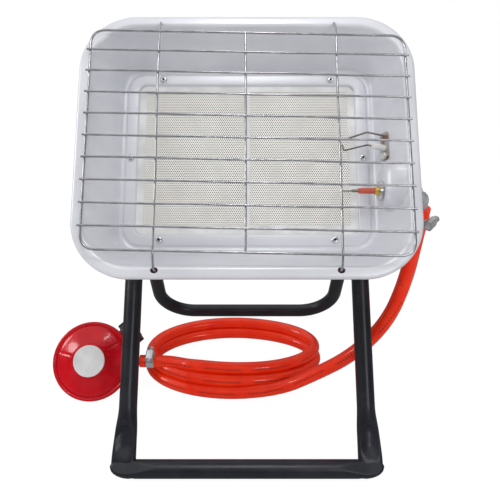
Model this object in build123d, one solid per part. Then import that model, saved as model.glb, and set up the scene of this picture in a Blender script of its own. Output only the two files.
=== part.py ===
"""Portable propane heater: tilting burner head on a folding tube stand, with hose and regulator.

World frame: +Z up, the heater looks towards -Y, +X is the right-hand side seen from the front,
origin on the floor half-way between the two foot bars.
Head frame: X right, Y up along the reflector, Z out of its floor plane towards the room.
Regulator frame: X along the outlet, Y up along the disc, Z out of the disc's front.
All sizes in millimetres.
"""
from build123d import *
import math
import os

os.makedirs("parts", exist_ok=True)

# ---------------------------------------------------------------- general
SHEET = 1.0              # pressed steel sheet of the reflector
PLATE = 2.0              # folded steel plate of the brackets
PLAY = 0.05              # radial play of pieces that never move once fitted
RUN = 0.1                # radial play of pieces that turn or slide
GAP = 0.3                # free space between soft or curved neighbours

# ---------------------------------------------------------------- stand
TUBE_D = 18.0
TUBE_WALL = 1.2
FOOT_SPREAD = 290.0      # between the centres of the two foot bars
FRONT_LEAN = 53.0        # front legs above the floor, degrees
REAR_LEAN = 65.0         # rear legs above the floor, degrees
LEG_INSIDE = 28.85       # front legs' centres inside the rim's edge
FRONT_BEND = 17.0        # centre-line radius of the tight front corners
REAR_BEND = 48.0         # centre-line radius of the rear corners
TAB_T = 5.0              # flattened tube ends
TAB_W = 25.0
TAB_GAP = 0.8            # thin washer between the two flattened ends
TAB_FLAT = 32.0          # a tab stays flat this far below the tilt axis, so the legs can close
SWAGE = 26.0             # length over which a tube goes from round to flat
DRAIN_D = 4.0
BOLT_D = 6.0
BOLT_HOLE_D = 6.5
BOLT_HEAD_R = 5.5
BOLT_HEAD_H = 4.0
WASHER_R = 9.0
OUTER_WASHER_T = 2.6      # keeps the knobs clear of the rear tubes where they widen
EAR_GAP = 2.0            # spacer between bracket ear and front tab
EAR_BASE = 60.0
EAR_R = 14.0
KNOB_HUB_R = 8.0
KNOB_HUB_H = 14.0
KNOB_COLLAR = 5.0        # plain part of the hub below the wings
KNOB_SPAN = 40.0
KNOB_WING_T = 6.0
KNOB_TURN = 30.0         # how far round the wings stand, degrees
BOLT_INTO_KNOB = 11.0

# ---------------------------------------------------------------- reflector
HEAD_TILT = 35.0         # head looks this far above the horizontal, degrees
PIVOT_BACK = 82.3        # tilt axis behind the reflector's floor plane
PIVOT_UP = 3.3           # tilt axis above the reflector's middle
RIM_W, RIM_H = 297.2, 237.4
RIM_R = 50.0
RIM_FLANGE = 10.0
RIM_LIP = 7.0            # lip turned back at the rim's edge
RIM_EDGE_R = 3.0
TRAY_DEPTH = 41.0
WALL_FLARE = 18.6        # each wall leans outwards by this much
FLOOR_R = 12.0           # bend between floor and walls
FLOOR_SIDE, FLOOR_END = 17.0, 17.0       # reflector's floor beyond the window
WINDOW_SIDE, WINDOW_END, WINDOW_R = 7.2, 7.1, 9.0     # window beyond the plaques
BLISTER_STEP = 1.0       # flat face of the blister inside the foot of the right wall
BLISTER_UP = 5.0         # middle of the blister above the valve's axis
BLISTER_LEN = 50.0
BLISTER_Z0, BLISTER_Z1 = 4.0, 36.0
BLISTER_R = 8.0
SCREW_BESIDE, SCREW_OVER = 6.0, 5.4      # screws outside the window's edges
SCREW_INWARD = 22.5      # corner screws inside the window's sides
SCREW_HEAD_R, SCREW_HEAD_H, SCREW_R = 3.6, 2.2, 1.9
SCREW_REACH = 5.0        # thread behind the clamped plates
HOLE_PLAY = 0.3

# ---------------------------------------------------------------- burner
PLAQUE_T = 13.0
PLAQUE_SEAM = 5.6
PLAQUE_UP = 1.4          # plaques sit this far above the middle of the window
PLAQUE_SET = 2.0         # plaque fronts lie this far behind the reflector's floor
SEAL_SET = 2.6
SEAL_T = 11.0
BOX_MARGIN = 0.8         # burner box inside beyond the window
BOX_DEPTH = 33.0
BOX_WALL = 1.2
BOX_FLANGE = 12.0        # flange of the burner box beyond the window
SEAT_LEDGE = 3.0
MIX_UNDER = 31.1         # mixing tube's axis below the window's top
MIX_BEHIND = 21.0        # mixing tube's axis behind the burner box
MIX_R, MIX_WALL = 13.0, 1.0
MIX_BELL_R, MIX_BELL_L = 17.0, 12.0
MIX_BELL_IN = 19.0       # bell's mouth inside the window's right side
MIX_INLET_IN = 45.0      # inlet's axis inside the window's left side
MIX_BEND = 16.0
MIX_COLLAR_R, MIX_COLLAR_T = 19.0, 2.0
JET_PLATE_FROM_BELL = 13.0
JET_PLATE_T = 1.5
JET_PLATE_H = 26.0
JET_FOOT_L = 34.0
JET_HEX_R, JET_HEX_L = 6.5, 5.0
JET_BODY_R, JET_BODY_L = 3.5, 8.0
JET_BORE_R = 0.6
PIPE_R = 3.0
PIPE_ASIDE = 21.0        # gas pipe outside the foot of the right wall
PIPE_BEND = 12.0
PIPE_NUT_R, PIPE_NUT_L = 7.5, 9.0

# ---------------------------------------------------------------- controls
CTRL_T = 1.5
CTRL_UNDER = 2.0         # plate reaches this far under the tray's floor
CTRL_R = 8.0
CTRL_TAB_H = 11.0
CTRL_TAB_LAP = 10.0
CTRL_TAB_OUT = 2.3       # middle of a tab beyond its screw
CTRL_EDGE = 4.0          # tabs inside the plate's ends
VALVE_ASIDE, VALVE_Y = 18.0, -38.0       # valve outside the foot of the right wall
VALVE_R, VALVE_TOP = 12.0, 32.0
VALVE_NECK_R, VALVE_NECK_L = 7.0, 9.0
VALVE_NUT_R, VALVE_NUT_L = 11.0, 4.0
PUSH_STEM_R, PUSH_CAP_R, PUSH_CAP_H = 3.5, 9.0, 11.0
PUSH_TRAVEL = 4.0
VALVE_PORT_Z = 8.0
VALVE_OUT_R, VALVE_OUT_END = 6.0, -21.0
VALVE_IN_R, VALVE_IN_L = 7.0, 15.0
SENSOR_BOSS_R, SENSOR_SHOULDER_R = 5.5, 7.0
TC_SOCKET = 4.0          # thermocouple's end inside the valve
SENSOR_NUT_R, SENSOR_NUT_T = 8.75, 2.2
IGNITER_ASIDE, IGNITER_UNDER = 19.4, 10.5      # igniter outside the wall's foot, below the top screws
IGNITER_R, IGNITER_L = 8.0, 24.0
IGNITER_FLANGE_R, IGNITER_FLANGE_T = 10.5, 2.5
IGNITER_PUSH_R, IGNITER_PUSH_H, IGNITER_TRAVEL = 6.5, 9.0, 4.0
PUSH_IN = 6.0            # button shanks inside their housings
PUSH_EDGE_R = 1.5

# ---------------------------------------------------------------- flame sensing and ignition
TC_TIP, TC_ROD, TC_SLEEVE, TC_COLLAR = 35.0, 26.0, 20.0, 5.6      # reach from the blister
TC_TIP_R, TC_ROD_R, TC_SLEEVE_R, TC_COLLAR_R = 0.7, 1.4, 2.6, 3.7
ELECTRODE_Y, ELECTRODE_Z = 4.0, 14.0
CERAMIC_R, CERAMIC_IN, CERAMIC_OUT = 3.0, 16.0, 6.0
WIRE_R = 0.8
TERMINAL_L = 3.0         # bare electrode wire behind its ceramic, inside the ignition lead
BRACKET_W, BRACKET_UP, BRACKET_DOWN, BRACKET_T = 11.0, 15.0, 11.4, 1.2
BRACKET_R = 3.0
BRACKET_SCREW_DROP = 7.6
WIRE_REACH = 33.0        # electrode's and earth wire's reach from the wall
EARTH_UP = 12.0
WIRE_KNEE, WIRE_HOOK = 4.0, 3.5
WIRE_BENDS = [3.0, 1.6]
LEAD_R = 1.4
LEAD_BENDS = [2.4, 8.0, 5.0, 2.4]
LEAD_OVER = 24.0
LEAD_ELBOW = 5.0
LEAD_SPAN = 10.0

# ---------------------------------------------------------------- guard
GUARD_WIRE_R = 1.2
GUARD_IN_X, GUARD_IN_Y = 12.1, 21.4      # guard's ring inside the rim
GUARD_ASIDE, GUARD_DROP = 0.6, 1.2       # guard's middle beside and below the rim's
GUARD_SLOPE = 0.021      # the hand-welded bars fall off to the right by this share
GUARD_MIDDLE = -1.8      # middle upright beside the guard's middle
GUARD_R = 15.0
GUARD_OUT = 9.0          # guard plane in front of the rim
GUARD_BARS = 9
GUARD_OVERHANG = 2.5
GUARD_UPRIGHT_X = 77.2
GUARD_HOOK_IN = 7.0      # hooks inside the rim's edge
GUARD_HOOK_L = 3.0       # hooks reach this far through the rim
GUARD_HOOK_BEND = 4.0
GUARD_WELD = 0.35        # crossing wires sink this far into each other
GUARD_LOW_HOLE_R = 2.7   # the lower hooks snap into wider holes

# ---------------------------------------------------------------- hose
HOSE_R = 7.5
NOZZLE_ASIDE = 14.4      # elbow outside the rim
NOZZLE_BEND = 7.0
NOZZLE_R, NOZZLE_BORE_R = 4.0, 2.5
NOZZLE_HEX_R, NOZZLE_HEX_L = 8.5, 5.0
NOZZLE_LEN = 38.0        # from the elbow's corner to the barbed end
NOZZLE_FREE = 14.0       # bare length between the elbow's corner and the hose
BARB_R = 4.6
CLAMP_AT = 13.0          # middle of a clamp from the hose's end
CLAMP_W, CLAMP_T = 9.0, 0.8
CLAMP_BOX_L, CLAMP_BOX_W, CLAMP_BOX_H = 12.0, 9.5, 6.5
CLAMP_BOX_R = 2.0
CLAMP_SINK = 0.5         # housing sunk into the band
CLAMP_SCREW_R, CLAMP_SCREW_L = 2.2, 17.0
CLAMP_HEAD_R, CLAMP_HEAD_H = 3.6, 3.0
BARB_L, BARB_PITCH, BARBS = 4.0, 6.0, 3
# route of the hose from the valve's nozzle down to the coil, chosen by hand
DROP_ROUTE = [
    (168.5, -32.0, 160.0),
    (150.0, -48.0, 116.0),
    (115.0, -53.0, 76.0),
    (75.0, -40.0, 38.0),
    (40.0, -34.0, 13.5),
]
DROP_END = (8.0, -38.5, 7.6)
TAIL_RUN = 32.0          # straight stretch on the regulator's nozzle
TAIL_ROUTE = [(-76.0, -7.0, 28.0)]
TAIL_END = (-50.0, -17.0, 27.0)
COIL_X, COIL_Y = -17.8, 29.5
COIL_A, COIL_B = 116.3, 76.0      # outer half-axes of the coiled hose
COIL_HOLE_X, COIL_HOLE_Y = -20.0, 37.0
COIL_HOLE_A, COIL_HOLE_B = 88.0, 45.0
COIL_FRONT_H, COIL_BACK_H = 37.0, 27.0
GROOVE_MORE = 3.0        # open stretch of the coil's top beyond the nozzle

# ---------------------------------------------------------------- regulator
REG_X, REG_Y = -185.0, -16.0
REG_R = 46.5
REG_FLANGE_T = 5.0
REG_HUB_R, REG_HUB_DEPTH = 21.0, 38.0
REG_EDGE_R = 2.0
REG_NECK_IN = 1.5        # body behind the rolled rim, inside its edge
REG_SHOULDER_IN, REG_SHOULDER_DEPTH = 8.5, 12.0
REG_WALL = 4.5
REG_RIM = 4.5            # width of the rolled rim round the cover
REG_COVER_STEP = 0.5
REG_COVER_GROOVE = 2.0
REG_COVER_H, REG_COVER_WALL = 7.5, 2.5
REG_BOSS_R, REG_BOSS_H = 20.0, 3.5
BOSS_FILLET = 1.0
LABEL_EDGE, LABEL_T = 1.8, 0.8
REG_PORT_DEPTH = 19.0
REG_OUT_R, REG_OUT_IN = 9.0, 6.5         # outlet's face inside the disc's edge
REG_NOZZLE_L = 36.0
REG_NOZZLE_FREE = 14.0
REG_IN_ANGLE = 40.0
REG_IN_R, REG_IN_IN = 11.0, 1.0          # inlet's face inside the disc's edge
STEM_R, STEM_BORE_R, STEM_FLANGE_R, STEM_FLANGE_T = 6.5, 3.0, 9.5, 2.0
NUT_R, NUT_LOBES = 16.5, 8
NUT_LOBE_R, NUT_LOBE_OUT = 5.0, 2.5
NUT_STAND = 1.5          # nut's back face beyond the inlet's
NUT_THREAD_R, NUT_THREAD_L = 10.9, 7.5
NUT_WEB = 2.5
SEAL_RING_T = 1.5
DIAPHRAGM_T = 1.2
SPRING_R, SPRING_WIRE_R, SPRING_TURNS = 9.0, 0.9, 4
SPRING_ROOM = 2.0

# ================================================================ derived places
FRONT_WIDTH = RIM_W - 2 * LEG_INSIDE      # between the centres of the front legs
sin_f, cos_f = math.sin(math.radians(FRONT_LEAN)), math.cos(math.radians(FRONT_LEAN))
sin_r, cos_r = math.sin(math.radians(REAR_LEAN)), math.cos(math.radians(REAR_LEAN))
TUBE_R = TUBE_D / 2
# both frames meet in the tilt axis: front and rear legs are the sides of a triangle on the foot bars
APEX_ANGLE = math.radians(180 - FRONT_LEAN - REAR_LEAN)
FRONT_LEG = FOOT_SPREAD * sin_r / math.sin(APEX_ANGLE)
REAR_LEG = FOOT_SPREAD * sin_f / math.sin(APEX_ANGLE)
PIVOT_Y = -FOOT_SPREAD / 2 + FRONT_LEG * cos_f
PIVOT_Z = TUBE_R + FRONT_LEG * sin_f
REAR_WIDTH = FRONT_WIDTH + 2 * (TAB_T + TAB_GAP)

tilt = math.radians(HEAD_TILT)
OUT = Vector(0, -math.cos(tilt), math.sin(tilt))
UP = Vector(0, math.sin(tilt), math.cos(tilt))
HEAD_ORIGIN = Vector(0, PIVOT_Y, PIVOT_Z) + OUT * PIVOT_BACK - UP * PIVOT_UP
HEAD = Plane(origin=HEAD_ORIGIN, x_dir=(1, 0, 0), z_dir=OUT)

FRONT_PLANE = Plane(origin=(0, -FOOT_SPREAD / 2, TUBE_R), x_dir=(1, 0, 0), z_dir=(0, -sin_f, cos_f))
REAR_PLANE = Plane(origin=(0, FOOT_SPREAD / 2, TUBE_R), x_dir=(1, 0, 0), z_dir=(0, -sin_r, -cos_r))

FRONT_TAB_X = FRONT_WIDTH / 2
REAR_TAB_X = REAR_WIDTH / 2
EAR_X1 = FRONT_TAB_X - TAB_T / 2 - EAR_GAP
EAR_X0 = EAR_X1 - PLATE

BACK_OF_FLOOR = -SHEET
FLANGE_BACK = BACK_OF_FLOOR - BOX_WALL
MOUTH_W, MOUTH_H = RIM_W - 2 * RIM_FLANGE, RIM_H - 2 * RIM_FLANGE
WALL_X0 = MOUTH_W / 2 - WALL_FLARE
WINDOW_W = 2 * (WALL_X0 - FLOOR_SIDE)
WINDOW_H = MOUTH_H - 2 * (WALL_FLARE + FLOOR_END)
PLAQUE_W = (WINDOW_W - PLAQUE_SEAM) / 2 - WINDOW_SIDE
PLAQUE_H = WINDOW_H - 2 * WINDOW_END
SCREW_X_WIDE = WINDOW_W / 2 + SCREW_BESIDE
SCREW_X = WINDOW_W / 2 - SCREW_INWARD
SCREW_Y = WINDOW_H / 2 + SCREW_OVER
FLARE_ANGLE = math.degrees(math.atan(WALL_FLARE / TRAY_DEPTH))
PLAQUE_X = (PLAQUE_W + PLAQUE_SEAM) / 2
MIX_Y = WINDOW_H / 2 - MIX_UNDER
MIX_Z = -BOX_DEPTH - MIX_BEHIND
MIX_BELL_X = WINDOW_W / 2 - MIX_BELL_IN
MIX_INLET_X = MIX_INLET_IN - WINDOW_W / 2
JET_PLATE_X = MIX_BELL_X + JET_PLATE_FROM_BELL

BLISTER_X = WALL_X0 - BLISTER_STEP
BLISTER_Y = VALVE_Y + BLISTER_UP
SENSOR_Z = (BLISTER_Z0 + BLISTER_Z1) / 2
VALVE_X = WALL_X0 + VALVE_ASIDE
VALVE_IN_END = VALVE_X + VALVE_IN_L
PIPE_X = WALL_X0 + PIPE_ASIDE
IGNITER_X = WALL_X0 + IGNITER_ASIDE
IGNITER_Y = SCREW_Y - IGNITER_UNDER
NOZZLE_X = RIM_W / 2 + NOZZLE_ASIDE
CTRL_X0, CTRL_X1 = WALL_X0 - CTRL_UNDER, RIM_W / 2
GUARD_W, GUARD_H = RIM_W - 2 * GUARD_IN_X, RIM_H - 2 * GUARD_IN_Y
GUARD_HOOK_Y = RIM_H / 2 - GUARD_HOOK_IN

REG_COVER_R = REG_R - REG_RIM
REG_SHOULDER_R = REG_R - REG_SHOULDER_IN
REG_OUT_END = REG_R - REG_OUT_IN
REG_NOZZLE_END = REG_OUT_END + REG_NOZZLE_L
REG_HOSE_START = REG_OUT_END + REG_NOZZLE_FREE
REG_IN_END = REG_R - REG_IN_IN

# the disc rests on its rim and on the hub behind it, which sets how far it leans back
REG_LEAN = math.atan2(REG_HUB_DEPTH - REG_FLANGE_T, REG_R - REG_HUB_R)
REG_Z = REG_R * math.sin(REG_LEAN) + REG_FLANGE_T * math.cos(REG_LEAN)
REG = Plane(
    origin=(REG_X, REG_Y, REG_Z), x_dir=(1, 0, 0), z_dir=(0, -math.sin(REG_LEAN), math.cos(REG_LEAN))
)


def save(node, shape):
    """Write one node, as a single solid or as a group of separate solids."""
    solids = shape.solids()
    export_step(solids[0] if len(solids) == 1 else Compound(children=list(solids)), f"parts/{node}.step")


def rod(start, end, radius):
    """Cylinder between two points."""
    start, end = Vector(*start), Vector(*end)
    along = end - start
    bar = Cylinder(radius, along.length, align=(Align.CENTER, Align.CENTER, Align.MIN))
    return Plane(origin=start, z_dir=along) * bar


def cone(start, end, radius0, radius1):
    """Cone or cylinder between two points."""
    start, end = Vector(*start), Vector(*end)
    along = end - start
    if abs(radius0 - radius1) < 1e-6:
        return rod(start, end, radius0)
    return Plane(origin=start, z_dir=along) * Cone(
        radius0, radius1, along.length, align=(Align.CENTER, Align.CENTER, Align.MIN)
    )


def hexagon(start, end, radius):
    """Hexagonal prism between two points."""
    start, end = Vector(*start), Vector(*end)
    plane = Plane(origin=start, z_dir=end - start)
    return extrude(plane * RegularPolygon(radius, 6), amount=(end - start).length)


def slab(width, height, z0, z1, radius=0.0, at=(0.0, 0.0)):
    """Plate with rounded corners between two levels."""
    face = RectangleRounded(width, height, radius) if radius else Rectangle(width, height)
    return Pos(at[0], at[1], z0) * extrude(face, amount=z1 - z0)


def tube_along(path, radius):
    """Round bar along a path."""
    return sweep(Plane(origin=path @ 0, z_dir=path % 0) * Circle(radius), path=path)


def bent(points, radius, bend):
    """Round bar along straight runs joined by arcs of one radius or of a list of radii."""
    return tube_along(FilletPolyline(*points, radius=bend), radius)


# ================================================================ stand
def stand_frame(plane, width, leg, bend):
    """U-shaped tube with flattened, drilled ends, in its own inclined plane."""
    half = width / 2
    round_end = leg - TAB_FLAT - SWAGE
    path = FilletPolyline(
        (-half, round_end, 0), (-half, 0, 0), (half, 0, 0), (half, round_end, 0), radius=bend
    )
    frame = tube_along(path, TUBE_R) - tube_along(path, TUBE_R - TUBE_WALL)
    for side in (-half, half):
        neck = loft([
            Plane(origin=(side, round_end, 0), x_dir=(1, 0, 0), z_dir=(0, 1, 0)) * Circle(TUBE_R),
            Plane(origin=(side, round_end + SWAGE, 0), x_dir=(1, 0, 0), z_dir=(0, 1, 0))
            * Ellipse(TAB_T / 2, TAB_W / 2),
        ])
        tab_face = Plane(origin=(side - TAB_T / 2, leg, 0), x_dir=(0, 1, 0), z_dir=(1, 0, 0))
        tab_l = leg - round_end - SWAGE
        tab = extrude(tab_face * (Circle(TAB_W / 2) + Pos(-tab_l / 2, 0) * Rectangle(tab_l, TAB_W)), TAB_T)
        frame += neck + tab
        frame -= rod((side - TAB_W, leg, 0), (side + TAB_W, leg, 0), BOLT_HOLE_D / 2)
    frame -= Pos(0, -TUBE_R, 0) * Rot(90, 0, 0) * Cylinder(DRAIN_D / 2, TUBE_R)
    return plane * frame


def across(side, inner, outer, radius, hole=None):
    """Disc or ring on the tilt axis, between two distances from the middle on one side."""
    def place(x):
        return (side * x, PIVOT_Y, PIVOT_Z)
    ring = rod(place(inner), place(outer), radius)
    if hole is None:
        return ring
    return ring - rod(place(inner - 1), place(outer + 1), hole)


def pivot_stack(side):
    """Bolt, washers and wing knob of one side of the tilt axis."""
    front0, front1 = FRONT_TAB_X - TAB_T / 2, FRONT_TAB_X + TAB_T / 2
    rear0, rear1 = REAR_TAB_X - TAB_T / 2, REAR_TAB_X + TAB_T / 2
    knob0 = rear1 + OUTER_WASHER_T
    bore = BOLT_D / 2 + RUN
    head0 = (side * (EAR_X0 - BOLT_HEAD_H), PIVOT_Y, PIVOT_Z)
    head1 = (side * EAR_X0, PIVOT_Y, PIVOT_Z)
    knob_bore = knob0 + BOLT_INTO_KNOB
    bolt = hexagon(head0, head1, BOLT_HEAD_R) + across(side, EAR_X0, knob_bore, BOLT_D / 2)
    washers = (
        across(side, EAR_X1, front0, WASHER_R, bore)
        + across(side, front1, rear0, WASHER_R, bore)
        + across(side, rear1, knob0, WASHER_R, bore)
    )
    hub = across(side, knob0, knob0 + KNOB_HUB_H, KNOB_HUB_R)
    wing_x = knob0 + (KNOB_COLLAR + KNOB_HUB_H) / 2
    wing = Box(KNOB_HUB_H - KNOB_COLLAR, KNOB_WING_T, KNOB_SPAN)
    wing = Pos(side * wing_x, PIVOT_Y, PIVOT_Z) * Rot(KNOB_TURN, 0, 0) * wing
    wing = fillet(wing.edges().filter_by(Axis.X, reverse=True).group_by(SortBy.LENGTH)[0], KNOB_WING_T / 3)
    knob = hub + wing
    knob -= across(side, knob0 - 1, knob_bore + GAP, bore)
    return bolt, washers, knob


# ================================================================ reflector and guard
def flared_plug(grow, z_low):
    """Solid inside of the reflector, grown outwards on its walls."""
    spread = grow / math.cos(math.radians(FLARE_ANGLE))
    mouth = RectangleRounded(MOUTH_W + 2 * spread, MOUTH_H + 2 * spread, RIM_R - RIM_FLANGE + spread)
    plug = extrude(mouth, amount=TRAY_DEPTH - z_low, dir=(0, 0, -1), taper=FLARE_ANGLE)
    plug = Pos(0, 0, TRAY_DEPTH) * plug
    return fillet(plug.faces().sort_by(Axis.Z)[0].edges(), FLOOR_R + grow)


def blister_block(grow, reach):
    """Rounded block of the blister, from its flat face outwards."""
    x0 = BLISTER_X + SHEET - grow
    length, height = BLISTER_LEN + 2 * (grow - SHEET), BLISTER_Z1 - BLISTER_Z0 + 2 * (grow - SHEET)
    block = Pos((x0 + reach) / 2, BLISTER_Y, (BLISTER_Z0 + BLISTER_Z1) / 2) * Box(reach - x0, length, height)
    rounded = block.edges().group_by(Axis.X)[0] + block.edges().filter_by(Axis.X)
    return fillet(rounded, BLISTER_R + grow - SHEET)


def wall_x(z):
    """Inner face of the right wall at a height above the floor."""
    return WALL_X0 + WALL_FLARE * z / TRAY_DEPTH


def burner_screw_places():
    places = [(side * SCREW_X_WIDE, 0.0) for side in (-1, 1)]
    places += [(sx * SCREW_X, sy * SCREW_Y) for sx in (-1, 1) for sy in (-1, 1)]
    return places


def screw_holes(z0, z1, places):
    holes = Part()
    for x, y in places:
        holes += rod((x, y, z0), (x, y, z1), SCREW_R + HOLE_PLAY)
    return holes


def electrode_axis(s, y=ELECTRODE_Y):
    """Point on the electrode's axis, s from the wall's inner face towards the plaques."""
    flare = math.radians(FLARE_ANGLE)
    return (wall_x(ELECTRODE_Z) - s * math.cos(flare), y, ELECTRODE_Z + s * math.sin(flare))


def guard_place(x, y, z):
    """Point of the guard's ring or bars, which slope a little."""
    return (GUARD_ASIDE + x, y - GUARD_DROP - GUARD_SLOPE * x, z)


def reflector_tray():
    cap = slab(RIM_W, RIM_H, TRAY_DEPTH - RIM_LIP, TRAY_DEPTH, RIM_R)
    cap = fillet(cap.faces().sort_by(Axis.Z)[-1].edges(), RIM_EDGE_R)
    inside_w, inside_h = RIM_W - 2 * SHEET, RIM_H - 2 * SHEET
    under = slab(inside_w, inside_h, TRAY_DEPTH - RIM_LIP, TRAY_DEPTH - SHEET, RIM_R - SHEET)
    under = fillet(under.faces().sort_by(Axis.Z)[-1].edges(), RIM_EDGE_R - SHEET)
    tray = cap - under + flared_plug(SHEET, BACK_OF_FLOOR)
    tray -= flared_plug(0.0, 0.0)
    tray += blister_block(SHEET, wall_x(BLISTER_Z1) + SHEET) - flared_wall_outside()
    outside = Pos(0, 0, BLISTER_Z1 / 2) * Box(RIM_W, RIM_H, BLISTER_Z1 * 2)
    tray -= blister_block(0.0, RIM_W) & outside
    tray -= slab(WINDOW_W, WINDOW_H, BACK_OF_FLOOR - 1, 1, WINDOW_R)
    tray -= screw_holes(BACK_OF_FLOOR - 1, 1, burner_screw_places())
    rim0, rim1 = TRAY_DEPTH - 2 * SHEET, TRAY_DEPTH + SHEET
    for x in (GUARD_ASIDE - GUARD_UPRIGHT_X, GUARD_ASIDE + GUARD_UPRIGHT_X):
        tray -= rod((x, GUARD_HOOK_Y, rim0), (x, GUARD_HOOK_Y, rim1), GUARD_WIRE_R + HOLE_PLAY)
        tray -= rod((x, -GUARD_HOOK_Y, rim0), (x, -GUARD_HOOK_Y, rim1), GUARD_LOW_HOLE_R)
    sensor0, sensor1 = BLISTER_X - SHEET, BLISTER_X + 2 * SHEET
    tray -= rod((sensor0, VALVE_Y, SENSOR_Z), (sensor1, VALVE_Y, SENSOR_Z), SENSOR_BOSS_R + PLAY)
    tray -= rod(electrode_axis(-5), electrode_axis(5), CERAMIC_R + HOLE_PLAY)
    screw_y = ELECTRODE_Y - BRACKET_SCREW_DROP
    tray -= rod(electrode_axis(-5, screw_y), electrode_axis(5, screw_y), SCREW_R + HOLE_PLAY)
    return tray


def flared_wall_outside():
    """Everything beyond the outer face of the reflector's wall."""
    whole = Pos(0, 0, TRAY_DEPTH / 2) * Box(2 * RIM_W, 2 * RIM_H, 2 * TRAY_DEPTH)
    return whole - flared_plug(SHEET / 2, BACK_OF_FLOOR)


def wire_guard():
    ring_z = TRAY_DEPTH + GUARD_OUT
    bar_z = ring_z + 2 * GUARD_WIRE_R - GUARD_WELD
    w, h = GUARD_W / 2, GUARD_H / 2
    corners = [guard_place(x, y, ring_z) for x, y in ((-w, -h), (w, -h), (w, h), (-w, h))]
    guard = tube_along(FilletPolyline(*corners, radius=GUARD_R, close=True), GUARD_WIRE_R)
    pitch = GUARD_H / (GUARD_BARS + 1)
    half = w + GUARD_OVERHANG
    for i in range(GUARD_BARS):
        y = -h + pitch * (i + 1)
        guard += rod(guard_place(-half, y, bar_z), guard_place(half, y, bar_z), GUARD_WIRE_R)
    middle = GUARD_ASIDE + GUARD_MIDDLE
    guard += rod((middle, -h - GUARD_DROP, ring_z), (middle, h - GUARD_DROP, ring_z), GUARD_WIRE_R)
    hook_z = TRAY_DEPTH - GUARD_HOOK_L
    ends = [(-GUARD_HOOK_Y, hook_z), (-GUARD_HOOK_Y, ring_z), (GUARD_HOOK_Y, ring_z), (GUARD_HOOK_Y, hook_z)]
    for x in (GUARD_ASIDE - GUARD_UPRIGHT_X, GUARD_ASIDE + GUARD_UPRIGHT_X):
        guard += bent([(x, y, z) for y, z in ends], GUARD_WIRE_R, GUARD_HOOK_BEND)
    return guard


def pan_screw(foot, axis, reach):
    """Pan-head screw whose head stands on a point, its shank running against the axis."""
    foot, axis = Vector(*foot), Vector(*axis).normalized()
    head = rod(foot, foot + axis * SCREW_HEAD_H, SCREW_HEAD_R)
    head = fillet(head.edges().sort_by_distance(foot + axis * SCREW_HEAD_H * 3)[0], SCREW_HEAD_H / 2)
    return head + rod(foot - axis * reach, foot, SCREW_R)


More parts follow.
